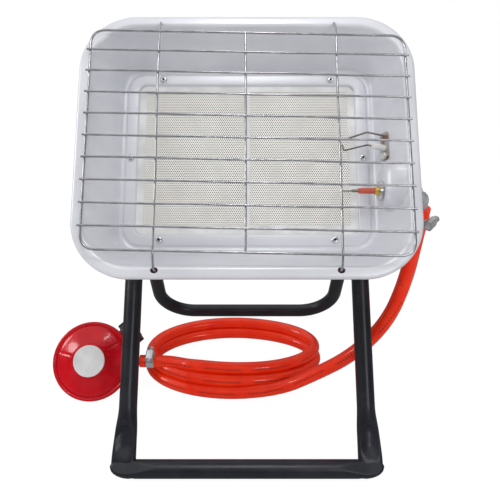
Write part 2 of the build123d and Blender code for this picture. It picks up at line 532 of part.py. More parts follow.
# ================================================================ burner
def burner_pieces():
    pieces = {}
    inner_w, inner_h = WINDOW_W + 2 * BOX_MARGIN, WINDOW_H + 2 * BOX_MARGIN
    radius = WINDOW_R + BOX_MARGIN
    back = -BOX_DEPTH
    for side, name in ((-1, "ceramic_plaque_left"), (1, "ceramic_plaque_right")):
        plaque_at = (side * PLAQUE_X, PLAQUE_UP)
        pieces[name] = slab(PLAQUE_W, PLAQUE_H, -PLAQUE_SET - PLAQUE_T, -PLAQUE_SET, at=plaque_at)
    seal = slab(inner_w, inner_h, -SEAL_SET - SEAL_T, -SEAL_SET, radius)
    for side in (-1, 1):
        seal -= slab(PLAQUE_W, PLAQUE_H, -SEAL_SET - SEAL_T - 1, 1, at=(side * PLAQUE_X, PLAQUE_UP))
    pieces["plaque_seal"] = seal
    seat_top = -PLAQUE_SET - PLAQUE_T
    seat = slab(inner_w, inner_h, seat_top - BOX_WALL, seat_top, radius)
    opening_w, opening_h = PLAQUE_W - 2 * SEAT_LEDGE, PLAQUE_H - 2 * SEAT_LEDGE
    for side in (-1, 1):
        seat -= slab(opening_w, opening_h, -BOX_DEPTH, 1, SEAT_LEDGE, (side * PLAQUE_X, PLAQUE_UP))
    pieces["plaque_seat_frame"] = seat
    box = slab(inner_w + 2 * BOX_WALL, inner_h + 2 * BOX_WALL, back, BACK_OF_FLOOR, radius + BOX_WALL)
    flange_w, flange_h = WINDOW_W + 2 * BOX_FLANGE, WINDOW_H + 2 * BOX_FLANGE
    box += slab(flange_w, flange_h, FLANGE_BACK, BACK_OF_FLOOR, radius + BOX_WALL)
    box -= slab(inner_w, inner_h, back + BOX_WALL, 1, radius)
    box -= rod((MIX_INLET_X, MIX_Y, back - 1), (MIX_INLET_X, MIX_Y, back + 2 * BOX_WALL), MIX_R - MIX_WALL)
    box -= screw_holes(FLANGE_BACK - 1, 1, burner_screw_places())
    pieces["burner_box"] = box
    bell0, bell1 = (MIX_BELL_X - MIX_BELL_L, MIX_Y, MIX_Z), (MIX_BELL_X, MIX_Y, MIX_Z)
    path = FilletPolyline(bell0, (MIX_INLET_X, MIX_Y, MIX_Z), (MIX_INLET_X, MIX_Y, back), radius=MIX_BEND)
    mixer = tube_along(path, MIX_R) + cone(bell0, bell1, MIX_R, MIX_BELL_R)
    mixer += rod((MIX_INLET_X, MIX_Y, back - MIX_COLLAR_T), (MIX_INLET_X, MIX_Y, back), MIX_COLLAR_R)
    mixer -= tube_along(path, MIX_R - MIX_WALL) + cone(bell0, bell1, MIX_R - MIX_WALL, MIX_BELL_R - MIX_WALL)
    pieces["mixing_tube"] = mixer
    plate_x1 = JET_PLATE_X + JET_PLATE_T
    top = MIX_Z - MIX_BELL_R
    plate_x = (JET_PLATE_X + plate_x1) / 2
    upright = Pos(plate_x, MIX_Y, (back + top) / 2) * Box(JET_PLATE_T, JET_PLATE_H, back - top)
    foot_x = plate_x1 - JET_FOOT_L / 2
    foot = Pos(foot_x, MIX_Y, back - JET_PLATE_T / 2) * Box(JET_FOOT_L, JET_PLATE_H, JET_PLATE_T)
    bracket = upright + foot
    bracket -= rod((JET_PLATE_X - 1, MIX_Y, MIX_Z), (plate_x1 + 1, MIX_Y, MIX_Z), JET_BODY_R + PLAY)
    pieces["injector_bracket"] = bracket
    pipe_x0 = plate_x1 + JET_HEX_L
    tip_x = JET_PLATE_X - JET_BODY_L
    shoulder = (JET_PLATE_X - JET_BODY_L / 2, MIX_Y, MIX_Z)
    jet = hexagon((plate_x1, MIX_Y, MIX_Z), (pipe_x0, MIX_Y, MIX_Z), JET_HEX_R)
    jet += rod(shoulder, (plate_x1, MIX_Y, MIX_Z), JET_BODY_R)
    jet += cone(shoulder, (tip_x, MIX_Y, MIX_Z), JET_BODY_R, JET_BODY_R / 2)
    jet -= rod((tip_x - 1, MIX_Y, MIX_Z), (pipe_x0 + 1, MIX_Y, MIX_Z), JET_BORE_R)
    pieces["injector"] = jet
    pipe_start, pipe_end = (pipe_x0, MIX_Y, MIX_Z), (PIPE_X, VALVE_OUT_END, VALVE_PORT_Z)
    corners = [(PIPE_X, MIX_Y, MIX_Z), (PIPE_X, MIX_Y, VALVE_PORT_Z)]
    pipe = bent([pipe_start] + corners + [pipe_end], PIPE_R, PIPE_BEND)
    nuts = hexagon(pipe_start, (pipe_x0 + PIPE_NUT_L, MIX_Y, MIX_Z), JET_HEX_R)
    nuts += hexagon(pipe_end, (PIPE_X, VALVE_OUT_END + PIPE_NUT_L, VALVE_PORT_Z), PIPE_NUT_R)
    pieces["pipe_nuts"] = nuts - pipe
    pieces["gas_pipe"] = pipe
    screws = Part()
    for x, y in burner_screw_places():
        screws += pan_screw((x, y, 0), (0, 0, 1), SCREW_REACH + SHEET)
    pieces["burner_screws"] = screws
    return pieces


# ================================================================ controls
def control_pieces():
    pieces = {}
    plate_top, plate_back = FLANGE_BACK, FLANGE_BACK - CTRL_T
    middle = (CTRL_X0 + CTRL_X1) / 2
    tab_x0, tab_x1 = SCREW_X - CTRL_TAB_H, CTRL_X0 + CTRL_TAB_LAP
    height = 2 * (SCREW_Y + CTRL_TAB_H / 2 + CTRL_EDGE)
    plate = slab(CTRL_X1 - CTRL_X0, height, plate_back, plate_top, CTRL_R, (middle, 0))
    for sign in (-1, 1):
        tab_at = ((tab_x0 + tab_x1) / 2, sign * (SCREW_Y + CTRL_TAB_OUT))
        plate += slab(tab_x1 - tab_x0, CTRL_TAB_H, plate_back, plate_top, CTRL_R / 2, tab_at)
    plate -= screw_holes(plate_back - 1, plate_top + 1, [(SCREW_X, -SCREW_Y), (SCREW_X, SCREW_Y)])
    bores = [(VALVE_X, VALVE_Y, VALVE_NECK_R + PLAY), (PIPE_X, MIX_Y, PIPE_R + HOLE_PLAY)]
    bores.append((IGNITER_X, IGNITER_Y, IGNITER_R + PLAY))
    for x, y, radius in bores:
        plate -= rod((x, y, plate_back - 1), (x, y, plate_top + 1), radius)
    pieces["control_plate"] = plate

    def valve_line(z):
        return (VALVE_X, VALVE_Y, z)

    def sensor_line(x):
        return (x, VALVE_Y, SENSOR_Z)

    blister_back = BLISTER_X + SHEET
    nut_face = BLISTER_X - SENSOR_NUT_T
    neck_back = plate_top - VALVE_NECK_L
    body = rod(valve_line(plate_top), valve_line(VALVE_TOP), VALVE_R)
    body += rod(valve_line(neck_back), valve_line(plate_top), VALVE_NECK_R)
    body += rod(sensor_line(blister_back), sensor_line(VALVE_X), SENSOR_SHOULDER_R)
    body += rod(sensor_line(nut_face), sensor_line(VALVE_X), SENSOR_BOSS_R)
    body += rod((PIPE_X, VALVE_Y, VALVE_PORT_Z), (PIPE_X, VALVE_OUT_END, VALVE_PORT_Z), VALVE_OUT_R)
    body += rod(valve_line(VALVE_PORT_Z), (VALVE_IN_END, VALVE_Y, VALVE_PORT_Z), VALVE_IN_R)
    body -= rod(valve_line(neck_back - 1), valve_line(plate_top + PUSH_TRAVEL + PUSH_IN), PUSH_STEM_R + RUN)
    body -= rod(sensor_line(nut_face - 1), sensor_line(blister_back + TC_SOCKET), TC_ROD_R + PLAY)
    pieces["gas_valve"] = body
    nut_back = plate_back - VALVE_NUT_L
    nut = hexagon(valve_line(nut_back), valve_line(plate_back), VALVE_NUT_R)
    nut -= rod(valve_line(nut_back - 1), valve_line(plate_back + 1), VALVE_NECK_R + PLAY)
    pieces["valve_lock_nut"] = nut
    cap_front = neck_back - PUSH_TRAVEL - GAP
    button = rod(valve_line(cap_front), valve_line(plate_top + PUSH_IN), PUSH_STEM_R)
    cap = rod(valve_line(cap_front - PUSH_CAP_H), valve_line(cap_front), PUSH_CAP_R)
    cap = fillet(cap.edges().sort_by(Axis.Z)[0], PUSH_EDGE_R)
    pieces["valve_push_button"] = button + cap
    sensor_nut = rod(sensor_line(nut_face), sensor_line(BLISTER_X), SENSOR_NUT_R)
    sensor_nut -= rod(sensor_line(nut_face - 1), sensor_line(BLISTER_X + 1), SENSOR_BOSS_R + PLAY)
    pieces["sensor_nut"] = sensor_nut

    def igniter_line(z):
        return (IGNITER_X, IGNITER_Y, z)

    flange_back = plate_back - IGNITER_FLANGE_T
    igniter = rod(igniter_line(plate_back), igniter_line(plate_top + IGNITER_L), IGNITER_R)
    igniter += rod(igniter_line(flange_back), igniter_line(plate_back), IGNITER_FLANGE_R)
    shank_end = plate_top + PUSH_IN
    shank_room = shank_end + IGNITER_TRAVEL + GAP
    igniter -= rod(igniter_line(flange_back - 1), igniter_line(shank_room), IGNITER_PUSH_R + RUN)
    pieces["piezo_igniter"] = igniter
    push = rod(igniter_line(flange_back - IGNITER_PUSH_H), igniter_line(shank_end), IGNITER_PUSH_R)
    pieces["igniter_button"] = fillet(push.edges().sort_by(Axis.Z)[0], PUSH_EDGE_R)

    rod_start, sleeve_start = BLISTER_X - TC_ROD, BLISTER_X - TC_SLEEVE
    collar_start = BLISTER_X - TC_COLLAR
    bar = rod(sensor_line(rod_start), sensor_line(blister_back + TC_SOCKET), TC_ROD_R)
    pieces["thermocouple"] = bar + rod(sensor_line(BLISTER_X - TC_TIP), sensor_line(rod_start), TC_TIP_R)
    sleeve = rod(sensor_line(sleeve_start), sensor_line(collar_start), TC_SLEEVE_R)
    pieces["thermocouple_sleeve"] = sleeve - bar
    pieces["thermocouple_collar"] = rod(sensor_line(collar_start), sensor_line(nut_face), TC_COLLAR_R) - bar

    ceramic = rod(electrode_axis(-CERAMIC_OUT), electrode_axis(CERAMIC_IN), CERAMIC_R)
    bore = rod(electrode_axis(-CERAMIC_OUT - 1), electrode_axis(CERAMIC_IN + 1), WIRE_R)
    pieces["electrode_ceramic"] = ceramic - bore
    knee = electrode_axis(CERAMIC_IN + WIRE_KNEE)
    tip_x = WALL_X0 - WIRE_REACH
    bend_at = (tip_x + WIRE_R * 2, ELECTRODE_Y - 2.0, ELECTRODE_Z - 0.5)
    tip = (tip_x, ELECTRODE_Y + WIRE_HOOK, ELECTRODE_Z - 1.0)
    terminal_end = electrode_axis(-CERAMIC_OUT - TERMINAL_L)
    pieces["electrode_wire"] = bent([terminal_end, knee, bend_at, tip], WIRE_R, WIRE_BENDS)
    axis = Vector(*electrode_axis(1)) - Vector(*electrode_axis(0))
    plate_plane = Plane(origin=electrode_axis(0), x_dir=(0, 1, 0), z_dir=axis)
    outline = RectangleRounded(BRACKET_UP + BRACKET_DOWN, BRACKET_W, BRACKET_R)
    screw_y = ELECTRODE_Y - BRACKET_SCREW_DROP
    bracket = extrude(plate_plane * Pos((BRACKET_UP - BRACKET_DOWN) / 2, 0) * outline, BRACKET_T)
    bracket -= rod(electrode_axis(-1), electrode_axis(BRACKET_T + 1), CERAMIC_R + PLAY)
    bracket -= rod(electrode_axis(-1, screw_y), electrode_axis(BRACKET_T + 1, screw_y), SCREW_R + PLAY)
    pieces["electrode_bracket"] = bracket
    pieces["electrode_screw"] = pan_screw(electrode_axis(BRACKET_T, screw_y), axis, BRACKET_T + 3 * SHEET)
    earth_y = ELECTRODE_Y + EARTH_UP
    earth_knee = electrode_axis(CERAMIC_IN + WIRE_KNEE, earth_y)
    earth_end = (tip_x + WIRE_R * 2, earth_y - WIRE_KNEE, ELECTRODE_Z)
    earth = [electrode_axis(BRACKET_T, earth_y), earth_knee, earth_end]
    pieces["earth_wire"] = bent(earth, WIRE_R, WIRE_BENDS[0])
    terminal = Vector(*electrode_axis(-CERAMIC_OUT))
    elbow = Vector(*electrode_axis(-CERAMIC_OUT - LEAD_ELBOW))
    lead_top = Vector(IGNITER_X, IGNITER_Y, plate_top + IGNITER_L)
    above = lead_top + Vector(0, 0, LEAD_ELBOW)
    over = Vector(elbow.X + LEAD_R, IGNITER_Y - LEAD_OVER, above.Z)
    beside = elbow + Vector(0, LEAD_SPAN, LEAD_SPAN / 3)
    lead = bent([lead_top, above, over, beside, elbow, terminal], LEAD_R, LEAD_BENDS)
    pieces["ignition_lead"] = lead - rod(terminal_end, terminal, WIRE_R)
    return pieces


def tilt_bracket(side):
    """Foot behind the burner box flange and an ear that reaches back to the tilt axis."""
    foot_top = FLANGE_BACK
    foot_x0 = WINDOW_W / 2 + BOX_MARGIN + BOX_WALL + PLAY
    foot = Box(EAR_X1 - foot_x0, EAR_BASE, PLATE)
    foot = Pos(side * (foot_x0 + EAR_X1) / 2, 0, foot_top - PLATE / 2) * foot
    base = Pos(0, foot_top - PLATE / 2) * Rectangle(EAR_BASE, PLATE)
    eye = Pos(PIVOT_UP, -PIVOT_BACK) * Circle(EAR_R)
    outline = make_hull(base.edges() + eye.edges())
    inner_x = EAR_X0 if side > 0 else -EAR_X1
    ear = extrude(Plane(origin=(inner_x, 0, 0), x_dir=(0, 1, 0), z_dir=(1, 0, 0)) * outline, PLATE)
    bracket = foot + ear
    bolt0, bolt1 = side * (EAR_X0 - 1), side * (EAR_X1 + 1)
    bracket -= rod((bolt0, PIVOT_UP, -PIVOT_BACK), (bolt1, PIVOT_UP, -PIVOT_BACK), BOLT_D / 2 + RUN)
    bracket -= screw_holes(foot_top - PLATE - 1, foot_top + 1, [(side * SCREW_X_WIDE, 0)])
    return bracket


# ================================================================ hose and clamps
def nozzle_points():
    """Elbow corner and the direction in which the nozzle leaves it, in the head frame."""
    corner = Vector(NOZZLE_X, VALVE_Y, VALVE_PORT_Z)
    return corner, Vector(0, -1, -1).normalized()


def barbs(end, along):
    """Rings of a hose barb, from its end backwards."""
    rings = Part()
    for i in range(BARBS):
        foot = end - along * (BARB_L + BARB_PITCH * i)
        rings += cone(foot, foot + along * BARB_L, BARB_R, NOZZLE_R)
    return rings


def inlet_nozzle():
    corner, down = nozzle_points()
    start = Vector(VALVE_IN_END, VALVE_Y, VALVE_PORT_Z)
    path = FilletPolyline(start, corner, corner + down * NOZZLE_LEN, radius=NOZZLE_BEND)
    nozzle = tube_along(path, NOZZLE_R)
    nozzle += hexagon(start, start + Vector(NOZZLE_HEX_L, 0, 0), NOZZLE_HEX_R)
    nozzle += barbs(corner + down * NOZZLE_LEN, down)
    return nozzle - tube_along(path, NOZZLE_BORE_R)


def spread_radii(points):
    """Arc radius at each inner point of a route, as large as its two runs allow."""
    radii = []
    for before, at, after in zip(points, points[1:], points[2:]):
        run_in, run_out = at - before, after - at
        turn = math.radians(run_in.get_angle(run_out))
        radii.append(0.45 * min(run_in.length, run_out.length) / math.tan(turn / 2))
    return radii


def hose_tube(points, name):
    """Tube along a route, with its radii and volume printed."""
    points = [Vector(*p) for p in points]
    radii = spread_radii(points)
    tube = bent(points, HOSE_R, radii)
    length = FilletPolyline(*points, radius=radii).length
    ratio = tube.volume / (length * math.pi * HOSE_R**2)
    print(name, "radii", [round(r) for r in radii], "length", round(length), "volume ratio", round(ratio, 4))
    return tube


def hose_clamp(centre, along, towards):
    """Worm clamp round a hose: band, screw housing, and the screw."""
    plane = Plane(origin=centre, x_dir=towards, z_dir=along)
    band = Cylinder(HOSE_R + CLAMP_T, CLAMP_W) - Cylinder(HOSE_R, CLAMP_W + 2)
    housing_x = HOSE_R + CLAMP_T + CLAMP_BOX_H / 2 - CLAMP_SINK
    housing = Pos(housing_x, 0, 0) * Box(CLAMP_BOX_H, CLAMP_BOX_L, CLAMP_BOX_W)
    band += fillet(housing.edges().filter_by(Axis.Y), CLAMP_BOX_R)
    screw_plane = Pos(housing_x, 0, 0) * Rot(90, 0, 0)
    screw = screw_plane * Cylinder(CLAMP_SCREW_R, CLAMP_SCREW_L)
    head = extrude(RegularPolygon(CLAMP_HEAD_R, 6), CLAMP_HEAD_H)
    screw += screw_plane * Pos(0, 0, CLAMP_SCREW_L / 2) * head
    return plane * (band - screw), plane * screw


def port(distance):
    """Point on the regulator outlet's axis at a distance from the disc's middle."""
    return Vector(distance, 0, -REG_PORT_DEPTH)


def coil_solid():
    """Outer shape of the coiled hose: an oval ring, higher at the front than at the back."""
    ring = extrude(Pos(COIL_X, COIL_Y) * Ellipse(COIL_A, COIL_B), COIL_FRONT_H)
    hole = Pos(COIL_HOLE_X, COIL_HOLE_Y) * Ellipse(COIL_HOLE_A, COIL_HOLE_B)
    ring -= extrude(hole, COIL_FRONT_H)
    slope = math.degrees(math.atan2(COIL_FRONT_H - COIL_BACK_H, 2 * COIL_B))
    above = Pos(COIL_X, COIL_Y - COIL_B, COIL_FRONT_H) * Rot(-slope, 0, 0) * Pos(0, COIL_B, COIL_FRONT_H / 2)
    ring -= above * Box(4 * COIL_A, 4 * COIL_B, COIL_FRONT_H)
    # the last turn leaves the coil on top, so the coil is open round the clamp
    end = REG.from_local_coords(port(REG_OUT_END))
    groove_r = HOSE_R + CLAMP_T + GAP
    groove_l = REG_NOZZLE_END + GROOVE_MORE - REG_OUT_END
    ring -= rod(end, end + Vector(groove_l, 0, 0), groove_r)
    above = Pos(end.X + groove_l / 2, end.Y, end.Z + COIL_FRONT_H / 2)
    return ring - above * Box(groove_l, CLAMP_SCREW_L + 2 * CLAMP_HEAD_H, COIL_FRONT_H)


# ================================================================ regulator
def reg_inlet(distance):
    """Point on the inlet's axis at a distance from the disc's middle."""
    angle = math.radians(REG_IN_ANGLE)
    return Vector(distance * math.cos(angle), distance * math.sin(angle), -REG_PORT_DEPTH)


def regulator_pieces():
    pieces = {}
    flange = -REG_FLANGE_T
    neck, shoulder, hub = REG_R - REG_NECK_IN, -REG_SHOULDER_DEPTH, -REG_HUB_DEPTH
    body = rod((0, 0, flange), (0, 0, 0), REG_R)
    body = fillet(body.edges(), REG_EDGE_R)
    body += cone((0, 0, flange), (0, 0, shoulder), neck, REG_SHOULDER_R)
    body += cone((0, 0, shoulder), (0, 0, hub), REG_SHOULDER_R, REG_HUB_R)
    body += rod(port(0), port(REG_OUT_END), REG_OUT_R)
    body += rod(reg_inlet(0), reg_inlet(REG_IN_END), REG_IN_R)
    seat = flange - DIAPHRAGM_T
    body -= rod((0, 0, seat), (0, 0, 1), REG_COVER_R)
    body -= cone((0, 0, seat), (0, 0, shoulder), REG_SHOULDER_R, REG_SHOULDER_R - REG_WALL)
    body -= cone((0, 0, shoulder), (0, 0, hub + REG_WALL), REG_SHOULDER_R - REG_WALL, REG_HUB_R - REG_WALL)
    body -= rod(port(REG_HUB_R), port(REG_OUT_END + 1), NOZZLE_R)
    body -= rod(reg_inlet(REG_HUB_R), reg_inlet(REG_IN_END + 1), STEM_R)
    pieces["regulator_body"] = body
    cone_foot, boss_top = REG_COVER_STEP, REG_COVER_H + REG_BOSS_H
    cover = rod((0, 0, flange), (0, 0, cone_foot), REG_COVER_R - PLAY)
    cone_r0, cone_r1 = REG_COVER_R - REG_COVER_GROOVE, REG_BOSS_R + BOSS_FILLET
    cover += cone((0, 0, cone_foot), (0, 0, REG_COVER_H), cone_r0, cone_r1)
    cover += rod((0, 0, REG_COVER_H), (0, 0, boss_top), REG_BOSS_R)
    label0 = boss_top - LABEL_T / 2
    label_r = REG_BOSS_R - LABEL_EDGE
    cover -= rod((0, 0, label0), (0, 0, boss_top + 1), label_r)
    inside_top = REG_COVER_H - REG_COVER_WALL
    wall = 2 * REG_COVER_WALL
    cover -= cone((0, 0, flange), (0, 0, inside_top), REG_COVER_R - wall, REG_BOSS_R)
    cover -= rod((0, 0, inside_top - 1), (0, 0, REG_COVER_H), SPRING_R + SPRING_WIRE_R + SPRING_ROOM)
    pieces["regulator_cover"] = cover
    pieces["regulator_badge"] = rod((0, 0, label0), (0, 0, label0 + LABEL_T), label_r)
    pieces["regulator_diaphragm"] = rod((0, 0, seat), (0, 0, flange), REG_COVER_R - PLAY)
    spring_h = REG_COVER_H - flange - 2 * SPRING_WIRE_R
    helix = Pos(0, 0, flange + SPRING_WIRE_R) * Helix(spring_h / SPRING_TURNS, spring_h, SPRING_R)
    coil_section = Plane(origin=helix @ 0, z_dir=helix % 0) * Circle(SPRING_WIRE_R - PLAY)
    pieces["regulator_spring"] = sweep(coil_section, path=helix, is_frenet=True)
    nozzle_end = port(REG_NOZZLE_END)
    outlet = rod(port(REG_HUB_R), nozzle_end, NOZZLE_R)
    outlet += hexagon(port(REG_OUT_END), port(REG_OUT_END + NOZZLE_HEX_L), NOZZLE_HEX_R)
    outlet += barbs(nozzle_end, Vector(1, 0, 0))
    outlet -= rod(port(0), port(REG_NOZZLE_END + 1), NOZZLE_BORE_R)
    pieces["regulator_outlet"] = outlet
    nut0 = REG_IN_END + NUT_STAND
    web1 = nut0 + NUT_WEB
    flange0 = web1 + RUN
    flange1 = flange0 + STEM_FLANGE_T
    stem = rod(reg_inlet(REG_HUB_R), reg_inlet(flange1), STEM_R)
    stem += rod(reg_inlet(flange0), reg_inlet(flange1), STEM_FLANGE_R)
    pieces["inlet_stem"] = stem - rod(reg_inlet(REG_HUB_R - 1), reg_inlet(flange1 + 1), STEM_BORE_R)
    seal1 = flange1 + SEAL_RING_T
    ring = rod(reg_inlet(flange1), reg_inlet(seal1), STEM_FLANGE_R - GAP)
    pieces["inlet_seal"] = ring - rod(reg_inlet(flange1 - 1), reg_inlet(seal1 + 1), STEM_BORE_R)
    nut1 = seal1 + NUT_THREAD_L
    nut = rod(reg_inlet(nut0), reg_inlet(nut1), NUT_R)
    back = Plane(origin=reg_inlet(nut0 - 1), x_dir=(0, 0, 1), z_dir=reg_inlet(1) - reg_inlet(0))
    groove = Cylinder(NUT_LOBE_R, nut1 - nut0 + 2, align=(Align.CENTER, Align.CENTER, Align.MIN))
    for i in range(NUT_LOBES):
        nut -= back * Rot(0, 0, i * 360 / NUT_LOBES) * Pos(NUT_R + NUT_LOBE_OUT, 0, 0) * groove
    nut -= rod(reg_inlet(nut0 - 1), reg_inlet(seal1), STEM_R + RUN)
    nut -= rod(reg_inlet(web1), reg_inlet(seal1), STEM_FLANGE_R + GAP)
    nut -= rod(reg_inlet(seal1), reg_inlet(nut1 + 1), NUT_THREAD_R)
    pieces["cylinder_nut"] = nut
    return pieces


# ================================================================ write the nodes
save("front_frame", stand_frame(FRONT_PLANE, FRONT_WIDTH, FRONT_LEG, FRONT_BEND))
save("rear_frame", stand_frame(REAR_PLANE, REAR_WIDTH, REAR_LEG, REAR_BEND))
for side, word in ((-1, "left"), (1, "right")):
    bolt, washers, knob = pivot_stack(side)
    save(f"pivot_bolt_{word}", bolt)
    save(f"pivot_washers_{word}", washers)
    save(f"wing_knob_{word}", knob)
    save(f"tilt_bracket_{word}", HEAD * tilt_bracket(side))

save("reflector_tray", HEAD * reflector_tray())
save("wire_guard", HEAD * wire_guard())
for node, shape in {**burner_pieces(), **control_pieces()}.items():
    save(node, HEAD * shape)

regulator = regulator_pieces()
for node, shape in regulator.items():
    save(node, REG * shape)
hose_end = REG.from_local_coords(port(REG_HOSE_START))
tail = hose_tube([hose_end, hose_end + Vector(TAIL_RUN, 0, 0)] + TAIL_ROUTE + [TAIL_END], "hose_tail")
outlet_bar = REG * rod(port(REG_HUB_R), port(REG_NOZZLE_END), NOZZLE_R)
coil = coil_solid() - tail
save("hose_coil", coil)
save("hose_tail", tail - REG * regulator["regulator_outlet"] - outlet_bar)
band, screw = hose_clamp(hose_end + Vector(CLAMP_AT, 0, 0), Vector(1, 0, 0), Vector(0, -0.3, 0.95))
save("regulator_clamp", band)
save("regulator_clamp_screw", screw)

corner, down = nozzle_points()
hose_top = HEAD.from_local_coords(corner + down * NOZZLE_FREE)
hose_dir = HEAD.from_local_coords(corner + down) - HEAD.from_local_coords(corner)
nozzle = HEAD * inlet_nozzle()
nozzle_bar = HEAD * rod(corner, corner + down * NOZZLE_LEN, NOZZLE_R)
drop = hose_tube([hose_top, hose_top + hose_dir * NOZZLE_LEN] + DROP_ROUTE + [DROP_END], "hose_drop")
save("inlet_nozzle", nozzle)
save("hose_drop", drop - nozzle - nozzle_bar - coil)
band, screw = hose_clamp(hose_top + hose_dir * CLAMP_AT, hose_dir, Vector(0.75, -0.6, -0.2))
save("valve_clamp", band)
save("valve_clamp_screw", screw)

print("pivot", round(PIVOT_Y, 3), round(PIVOT_Z, 3), "head origin", HEAD_ORIGIN, "legs", FRONT_LEG, REAR_LEG)
print("regulator", REG_Z, math.degrees(REG_LEAN))
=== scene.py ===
# %% [markdown]
# # A portable propane heater, dressed in Blender
# A pressed reflector with two perforated ceramic plaques hangs between the legs of a folding
# tube stand, and an orange gas hose runs from it through a coil on the floor to a red regulator.
# The solid frame is loaded first; every piece below but the hose rides on one of its bodies.

import math

import bpy
from mathutils import Matrix, Vector


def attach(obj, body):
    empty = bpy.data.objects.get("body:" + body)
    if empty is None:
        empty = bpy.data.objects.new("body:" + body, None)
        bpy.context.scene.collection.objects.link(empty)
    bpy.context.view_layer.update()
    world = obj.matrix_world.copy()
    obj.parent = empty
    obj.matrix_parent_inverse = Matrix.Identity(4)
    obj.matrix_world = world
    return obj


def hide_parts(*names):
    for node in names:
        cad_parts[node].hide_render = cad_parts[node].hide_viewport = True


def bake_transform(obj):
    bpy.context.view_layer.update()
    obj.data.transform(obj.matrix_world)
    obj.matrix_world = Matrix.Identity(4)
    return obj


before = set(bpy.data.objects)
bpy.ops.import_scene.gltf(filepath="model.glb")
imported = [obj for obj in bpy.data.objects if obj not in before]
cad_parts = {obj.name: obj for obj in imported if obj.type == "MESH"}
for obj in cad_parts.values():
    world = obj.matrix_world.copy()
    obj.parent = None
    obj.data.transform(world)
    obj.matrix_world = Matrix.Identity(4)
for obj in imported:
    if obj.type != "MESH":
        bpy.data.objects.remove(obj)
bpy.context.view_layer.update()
mm = 0.001

# %% [markdown]
# ## Camera
# The view is a little above the heater and looks down at it by 25 degrees. A lens as long as
# the sensor is wide gives the same gentle perspective; a small shift centres the object.

# %% Camera
bpy.ops.object.select_all(action="DESELECT")
CAMERA_AT = (0, -497 * mm, 414.6 * mm)
CAMERA_LEAN = math.radians(64.6)     # 0 would look straight down and 90 degrees level
bpy.ops.object.camera_add(location=CAMERA_AT, rotation=(CAMERA_LEAN, 0, 0))
camera = bpy.context.object
camera.data.lens, camera.data.sensor_width = 36, 36
camera.data.shift_x = 0.006
camera.data.clip_start = 0.01
bpy.context.scene.camera = camera
print("camera", camera.location)

# %% [markdown]
# ## Where things are
# The head has its own plane: X to the right, Y up along the reflector and Z out towards the
# room. Pieces of the head are modelled flat in that plane and then carried into place by one
# matrix, which is easier than modelling them tilted.

# %% Planes
TILT = math.radians(35)
HEAD_AT = Vector((0, -35.1652, 291.2344)) * mm
RIGHT = Vector((1, 0, 0))
UP = Vector((0, math.sin(TILT), math.cos(TILT)))


def plane(origin, x_axis, y_axis):
    """Matrix that carries a piece from its own plane into the world."""
    z_axis = x_axis.cross(y_axis)
    turn = Matrix((x_axis, y_axis, z_axis)).transposed().to_4x4()
    return Matrix.Translation(origin) @ turn


def rising(angle):
    """Direction that goes back and up, by an angle over the floor."""
    return Vector((0, math.cos(angle), math.sin(angle)))


HEAD = plane(HEAD_AT, RIGHT, UP)
REG_LEAN = math.radians(52.30576)
REG_AT = Vector((-185, -16, 39.852)) * mm
REG = plane(REG_AT, RIGHT, rising(REG_LEAN))
LEG_LEAN = math.radians(53)
FOOT_AT = Vector((0, -145, 9))       # middle of the foot bar, in millimetres
FRONT = plane(FOOT_AT * mm, RIGHT, rising(LEG_LEAN))
print("head plane at", tuple(round(v, 4) for v in HEAD_AT))

# %% Sizes that several pieces share, in millimetres
RIM_W, RIM_H = 297.2, 237.4          # outline of the reflector's rim
RIM_CORNER = 50                      # radius of the rim's corners
RIM_Z, LIP_Z = 41, 34                # heights of the rim and of its lip over the tray floor
TUBE_R = 9                           # tube of the stand
LEG_X = 119.75                       # middle of a front leg, out from the centre
HOSE_R = 7.5
GUARD_X = 0.6                        # the guard sits a little to the right
HOOK_X, HOOK_Y = 77.2, 111.7         # its hooks, out from its own middle
print("rim", RIM_W, "by", RIM_H, "mm")

# %% [markdown]
# ## Shader maths
# A pattern such as the holes of a plaque is a small formula. The Wire class wraps one socket
# and turns + - * / into Math nodes, so a formula can be written as one line of Python.


# %% The Wire and Paint classes
class Wire:
    """One output of a shader node, with arithmetic."""

    def __init__(self, paint, socket):
        self.paint, self.socket = paint, socket

    def maths(self, operation, *values):
        return self.paint.node("ShaderNodeMath", {"operation": operation}, *values)

    def __add__(self, other):
        return self.maths("ADD", self, other)

    def __sub__(self, other):
        return self.maths("SUBTRACT", self, other)

    def __rsub__(self, other):
        return self.maths("SUBTRACT", other, self)

    def __mul__(self, other):
        return self.maths("MULTIPLY", self, other)

    def __truediv__(self, other):
        return self.maths("DIVIDE", self, other)

    __radd__ = __add__

    def power(self, other):
        return self.maths("POWER", self, other)

    def whole(self):
        return self.maths("FLOOR", self)

    def part(self):
        return self.maths("FRACT", self)

    def size(self):
        return self.maths("ABSOLUTE", self)

    def step(self, low, high):
        """0 below low, 1 above high, smooth between; low may be the larger one."""
        settings = {"interpolation_type": "SMOOTHSTEP"}
        if low < high:
            return self.paint.node("ShaderNodeMapRange", settings, self, low, high, 0.0, 1.0)
        return self.paint.node("ShaderNodeMapRange", settings, self, high, low, 1.0, 0.0)


